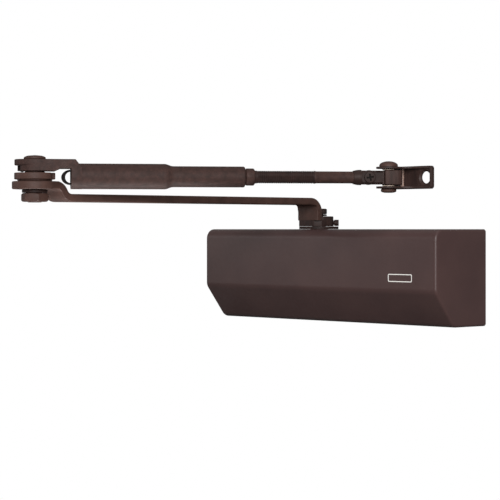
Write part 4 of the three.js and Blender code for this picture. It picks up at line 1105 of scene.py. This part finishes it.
def shoe_bracket():
    inner, outer, radius, back, web, right = 7.1, 8.7, 10.0, 16.5, 2.5, 34.4
    left, rim_front, end_front, half = -12.0, 9.6, 12.7, 9.2
    hole, countersink, sink_depth, hole_places = 4.9, 6.4, 1.2, (26.5, -5)
    ear = [(left, back - 1, 0.1), (-radius, 0, 2)] + arc(0, 0, radius, 180, 360, 32)[1:]
    ear += [(radius + 1, 4, 2), (radius + 6, rim_front, 2), (right - 6, end_front, 2),
            (right - 1, end_front, 0.5), (right - 1, back - 1, 0.1)]
    ear = softened(ear, 0.0)
    ears = [slab(ear, low, high, 0.35) for low, high in ((inner, outer), (-outer, -inner))]
    face = rounded_rectangle(left, -half, right, half, 2.4)
    plate = solid(moved(slab(face, -back, web - back, 0.35), ACROSS))
    for x in hole_places:
        cutter = lathe([(0, -1), (hole, -1), (hole, web - sink_depth), (countersink, web),
                        (countersink, web + 1), (0, web + 1)], 64)
        combine(plate, moved(cutter, shift(x, back) @ ACROSS), "DIFFERENCE")
    rim = common(
        cut(moved(slab(face, 1 - back, -end_front, 0.5), ACROSS),
            moved(slab(rounded_rectangle(left - 10, -inner, right - 1.7, inner, 1.4), -30, 10, 0),
                  ACROSS)),
        box((radius + 6, 0, -20), (right + 1, back, 20)))
    bead = moved(rod(BEAD_RADIUS, -inner - 0.5, inner + 0.5, segments=40),
                 shift(BEAD_X, back - web))
    return cut(union(plate, *ears, rim, bead), rod(PIN_BORE, -20, 20, segments=48))


def on_bead(at):
    return abs(at.x - BEAD_X) < BEAD_RADIUS and abs(at.z) < 7 and at.y < 14.1


shoe_piece = finish(shoe_bracket(), "shoe_plate", "shoe_body", SHOE_PAINT, ("shoe_bracket",),
                    AT_PIN, edge=0.2)
# The bead's faces get the light bronze: a painted highlight where its round catches the light.
paint_where(shoe_piece, AT_PIN, on_bead, BEAD_HIGHLIGHT_PAINT)
for name in ("upper_shoe_washer", "lower_shoe_washer"):
    low, high = span(name, 2)
    finish(ring(PIN_BORE, 5, low - ROD_Z, high - ROD_Z, 0.2), name + "_ring", "shoe_body", NYLON,
           (name,), AT_PIN)


# ---- CAD nodes that stay ----

def smoothing_group():
    """A modifier that joins a CAD mesh's split corners and shades its round faces smooth."""
    group = bpy.data.node_groups.new("soft_shading", "GeometryNodeTree")
    group.interface.new_socket("Geometry", in_out="INPUT", socket_type="NodeSocketGeometry")
    group.interface.new_socket("Geometry", in_out="OUTPUT", socket_type="NodeSocketGeometry")
    nodes, links = group.nodes, group.links
    start, end = nodes.new("NodeGroupInput"), nodes.new("NodeGroupOutput")
    merge = nodes.new("GeometryNodeMergeByDistance")
    merge.inputs["Distance"].default_value = 0.00001
    faces = nodes.new("GeometryNodeSetShadeSmooth")
    edges = nodes.new("GeometryNodeSetShadeSmooth")
    edges.domain = "EDGE"
    angle = nodes.new("GeometryNodeInputMeshEdgeAngle")
    gentle = nodes.new("FunctionNodeCompare")
    gentle.operation = "LESS_THAN"
    gentle.inputs[1].default_value = math.radians(32)
    links.new(start.outputs[0], merge.inputs["Geometry"])
    links.new(merge.outputs[0], faces.inputs["Geometry"])
    links.new(faces.outputs[0], edges.inputs["Geometry"])
    links.new(angle.outputs["Unsigned Angle"], gentle.inputs[0])
    links.new(gentle.outputs[0], edges.inputs["Shade Smooth"])
    links.new(edges.outputs[0], end.inputs[0])
    return group


SOFT_SHADING = smoothing_group()
KEPT = {
    ZINC: ("spring_seat", "upper_bearing", "lower_bearing", "rack_piston", "check_ball",
           "pinion_spindle", "detent_ball"),
    RUBBER: ("left_cap_seal", "right_cap_seal", "spindle_seal"),
}
for kept_material, names in KEPT.items():
    for name in names:
        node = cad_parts[name]
        node.data.materials.clear()
        node.data.materials.append(kept_material)
        node.modifiers.new("shading", "NODES").node_group = SOFT_SHADING


# ---- Floor, light and camera ----

def seen_or_lit(tree, seen, lit):
    """A shader that the camera sees one way and that lights the object another way."""
    path = tree.nodes.new("ShaderNodeLightPath")
    mixed = tree.nodes.new("ShaderNodeMixShader")
    tree.links.new(path.outputs["Is Camera Ray"], mixed.inputs["Fac"])
    tree.links.new(lit, mixed.inputs[1])
    tree.links.new(seen, mixed.inputs[2])
    return mixed.outputs[0]


def studio_floor():
    """A white floor that meets the white backdrop without a line and throws little light back."""
    half = 9.0
    low = CAD_BOX[0].z - 0.0004
    mesh = bpy.data.meshes.new("studio_floor")
    mesh.from_pydata(
        [(-half, -half, low), (half, -half, low), (half, half, low), (-half, half, low)], [],
        [(0, 1, 2, 3)])
    floor = bpy.data.objects.new("studio_floor", mesh)
    bpy.context.scene.collection.objects.link(floor)
    floor_finish = bpy.data.materials.new("floor_white")
    floor_finish.use_nodes = True
    tree = floor_finish.node_tree
    tree.nodes.clear()
    output = tree.nodes.new("ShaderNodeOutputMaterial")
    white = tree.nodes.new("ShaderNodeEmission")
    white.inputs["Strength"].default_value = FLOOR_SEEN
    matt = tree.nodes.new("ShaderNodeBsdfDiffuse")
    place = tree.nodes.new("ShaderNodeTexCoord")
    apart = tree.nodes.new("ShaderNodeSeparateXYZ")
    tree.links.new(place.outputs["Object"], apart.inputs[0])
    bounce = tree.nodes.new("ShaderNodeMapRange")
    for socket, value in enumerate((*BOUNCE_FADE, BOUNCE_UNDER_ARMS, BOUNCE_UNDER_BODY), 1):
        bounce.inputs[socket].default_value = value
    tree.links.new(apart.outputs["Y"], bounce.inputs[0])
    tree.links.new(bounce.outputs[0], matt.inputs["Color"])
    tree.links.new(seen_or_lit(tree, white.outputs[0], matt.outputs[0]), output.inputs["Surface"])
    mesh.materials.append(floor_finish)


def area_light(name, place, aim, size, power, spread=180):
    data = bpy.data.lights.new(name, "AREA")
    data.shape = "RECTANGLE"
    data.size, data.size_y = size
    data.energy = power
    data.spread = math.radians(spread)
    light = bpy.data.objects.new(name, data)
    light.visible_camera = False
    bpy.context.scene.collection.objects.link(light)
    light.location = place
    light.rotation_euler = (Vector(aim) - Vector(place)).to_track_quat("-Z", "Y").to_euler()


def studio_world():
    world = bpy.data.worlds.new("studio")
    bpy.context.scene.world = world
    world.use_nodes = True
    tree = world.node_tree
    tree.nodes.clear()
    output = tree.nodes.new("ShaderNodeOutputWorld")
    seen = tree.nodes.new("ShaderNodeBackground")
    seen.inputs["Color"].default_value = (1, 1, 1, 1)
    lit = tree.nodes.new("ShaderNodeBackground")
    lit.inputs["Color"].default_value = (1, 1, 1, 1)
    lit.inputs["Strength"].default_value = ROOM_LIGHT
    tree.links.new(seen_or_lit(tree, seen.outputs[0], lit.outputs[0]), output.inputs["Surface"])


BOUNCE_FADE = (-0.27, -0.17)
FLOOR_SEEN, BOUNCE_UNDER_ARMS, BOUNCE_UNDER_BODY, ROOM_LIGHT = 1.0, 0.4, 0.3, 0.3
studio_floor()
studio_world()
area_light("key", (2.1, -2.0, 0.75), (0, -0.15, 0.02), (1.8, 1.3), 125)
area_light("overhead", (0.1, -0.2, 2.2), (0, -0.15, 0), (2.2, 2.2), 12)
area_light("under_arms", (0, -0.3, -0.037), (0, -0.299, 0.07), (0.16, 0.16), 0.15, 60)
area_light("left_wall", (-1.7, -1.75, 0.35), (0, -0.1, 0.02), (1.6, 1.2), 10)

camera_data = bpy.data.cameras.new("camera")
camera_data.lens = 131.4
camera_data.sensor_width = 36
camera_data.shift_y = -0.0416
camera_data.clip_end = 60
camera = bpy.data.objects.new("camera", camera_data)
bpy.context.scene.collection.objects.link(camera)
camera.location = (1.1411, -1.1842, 0.0408)
camera.rotation_euler = (math.radians(90), 0, math.radians(47.5))
bpy.context.scene.camera = camera
bpy.context.scene.view_settings.view_transform = "Standard"
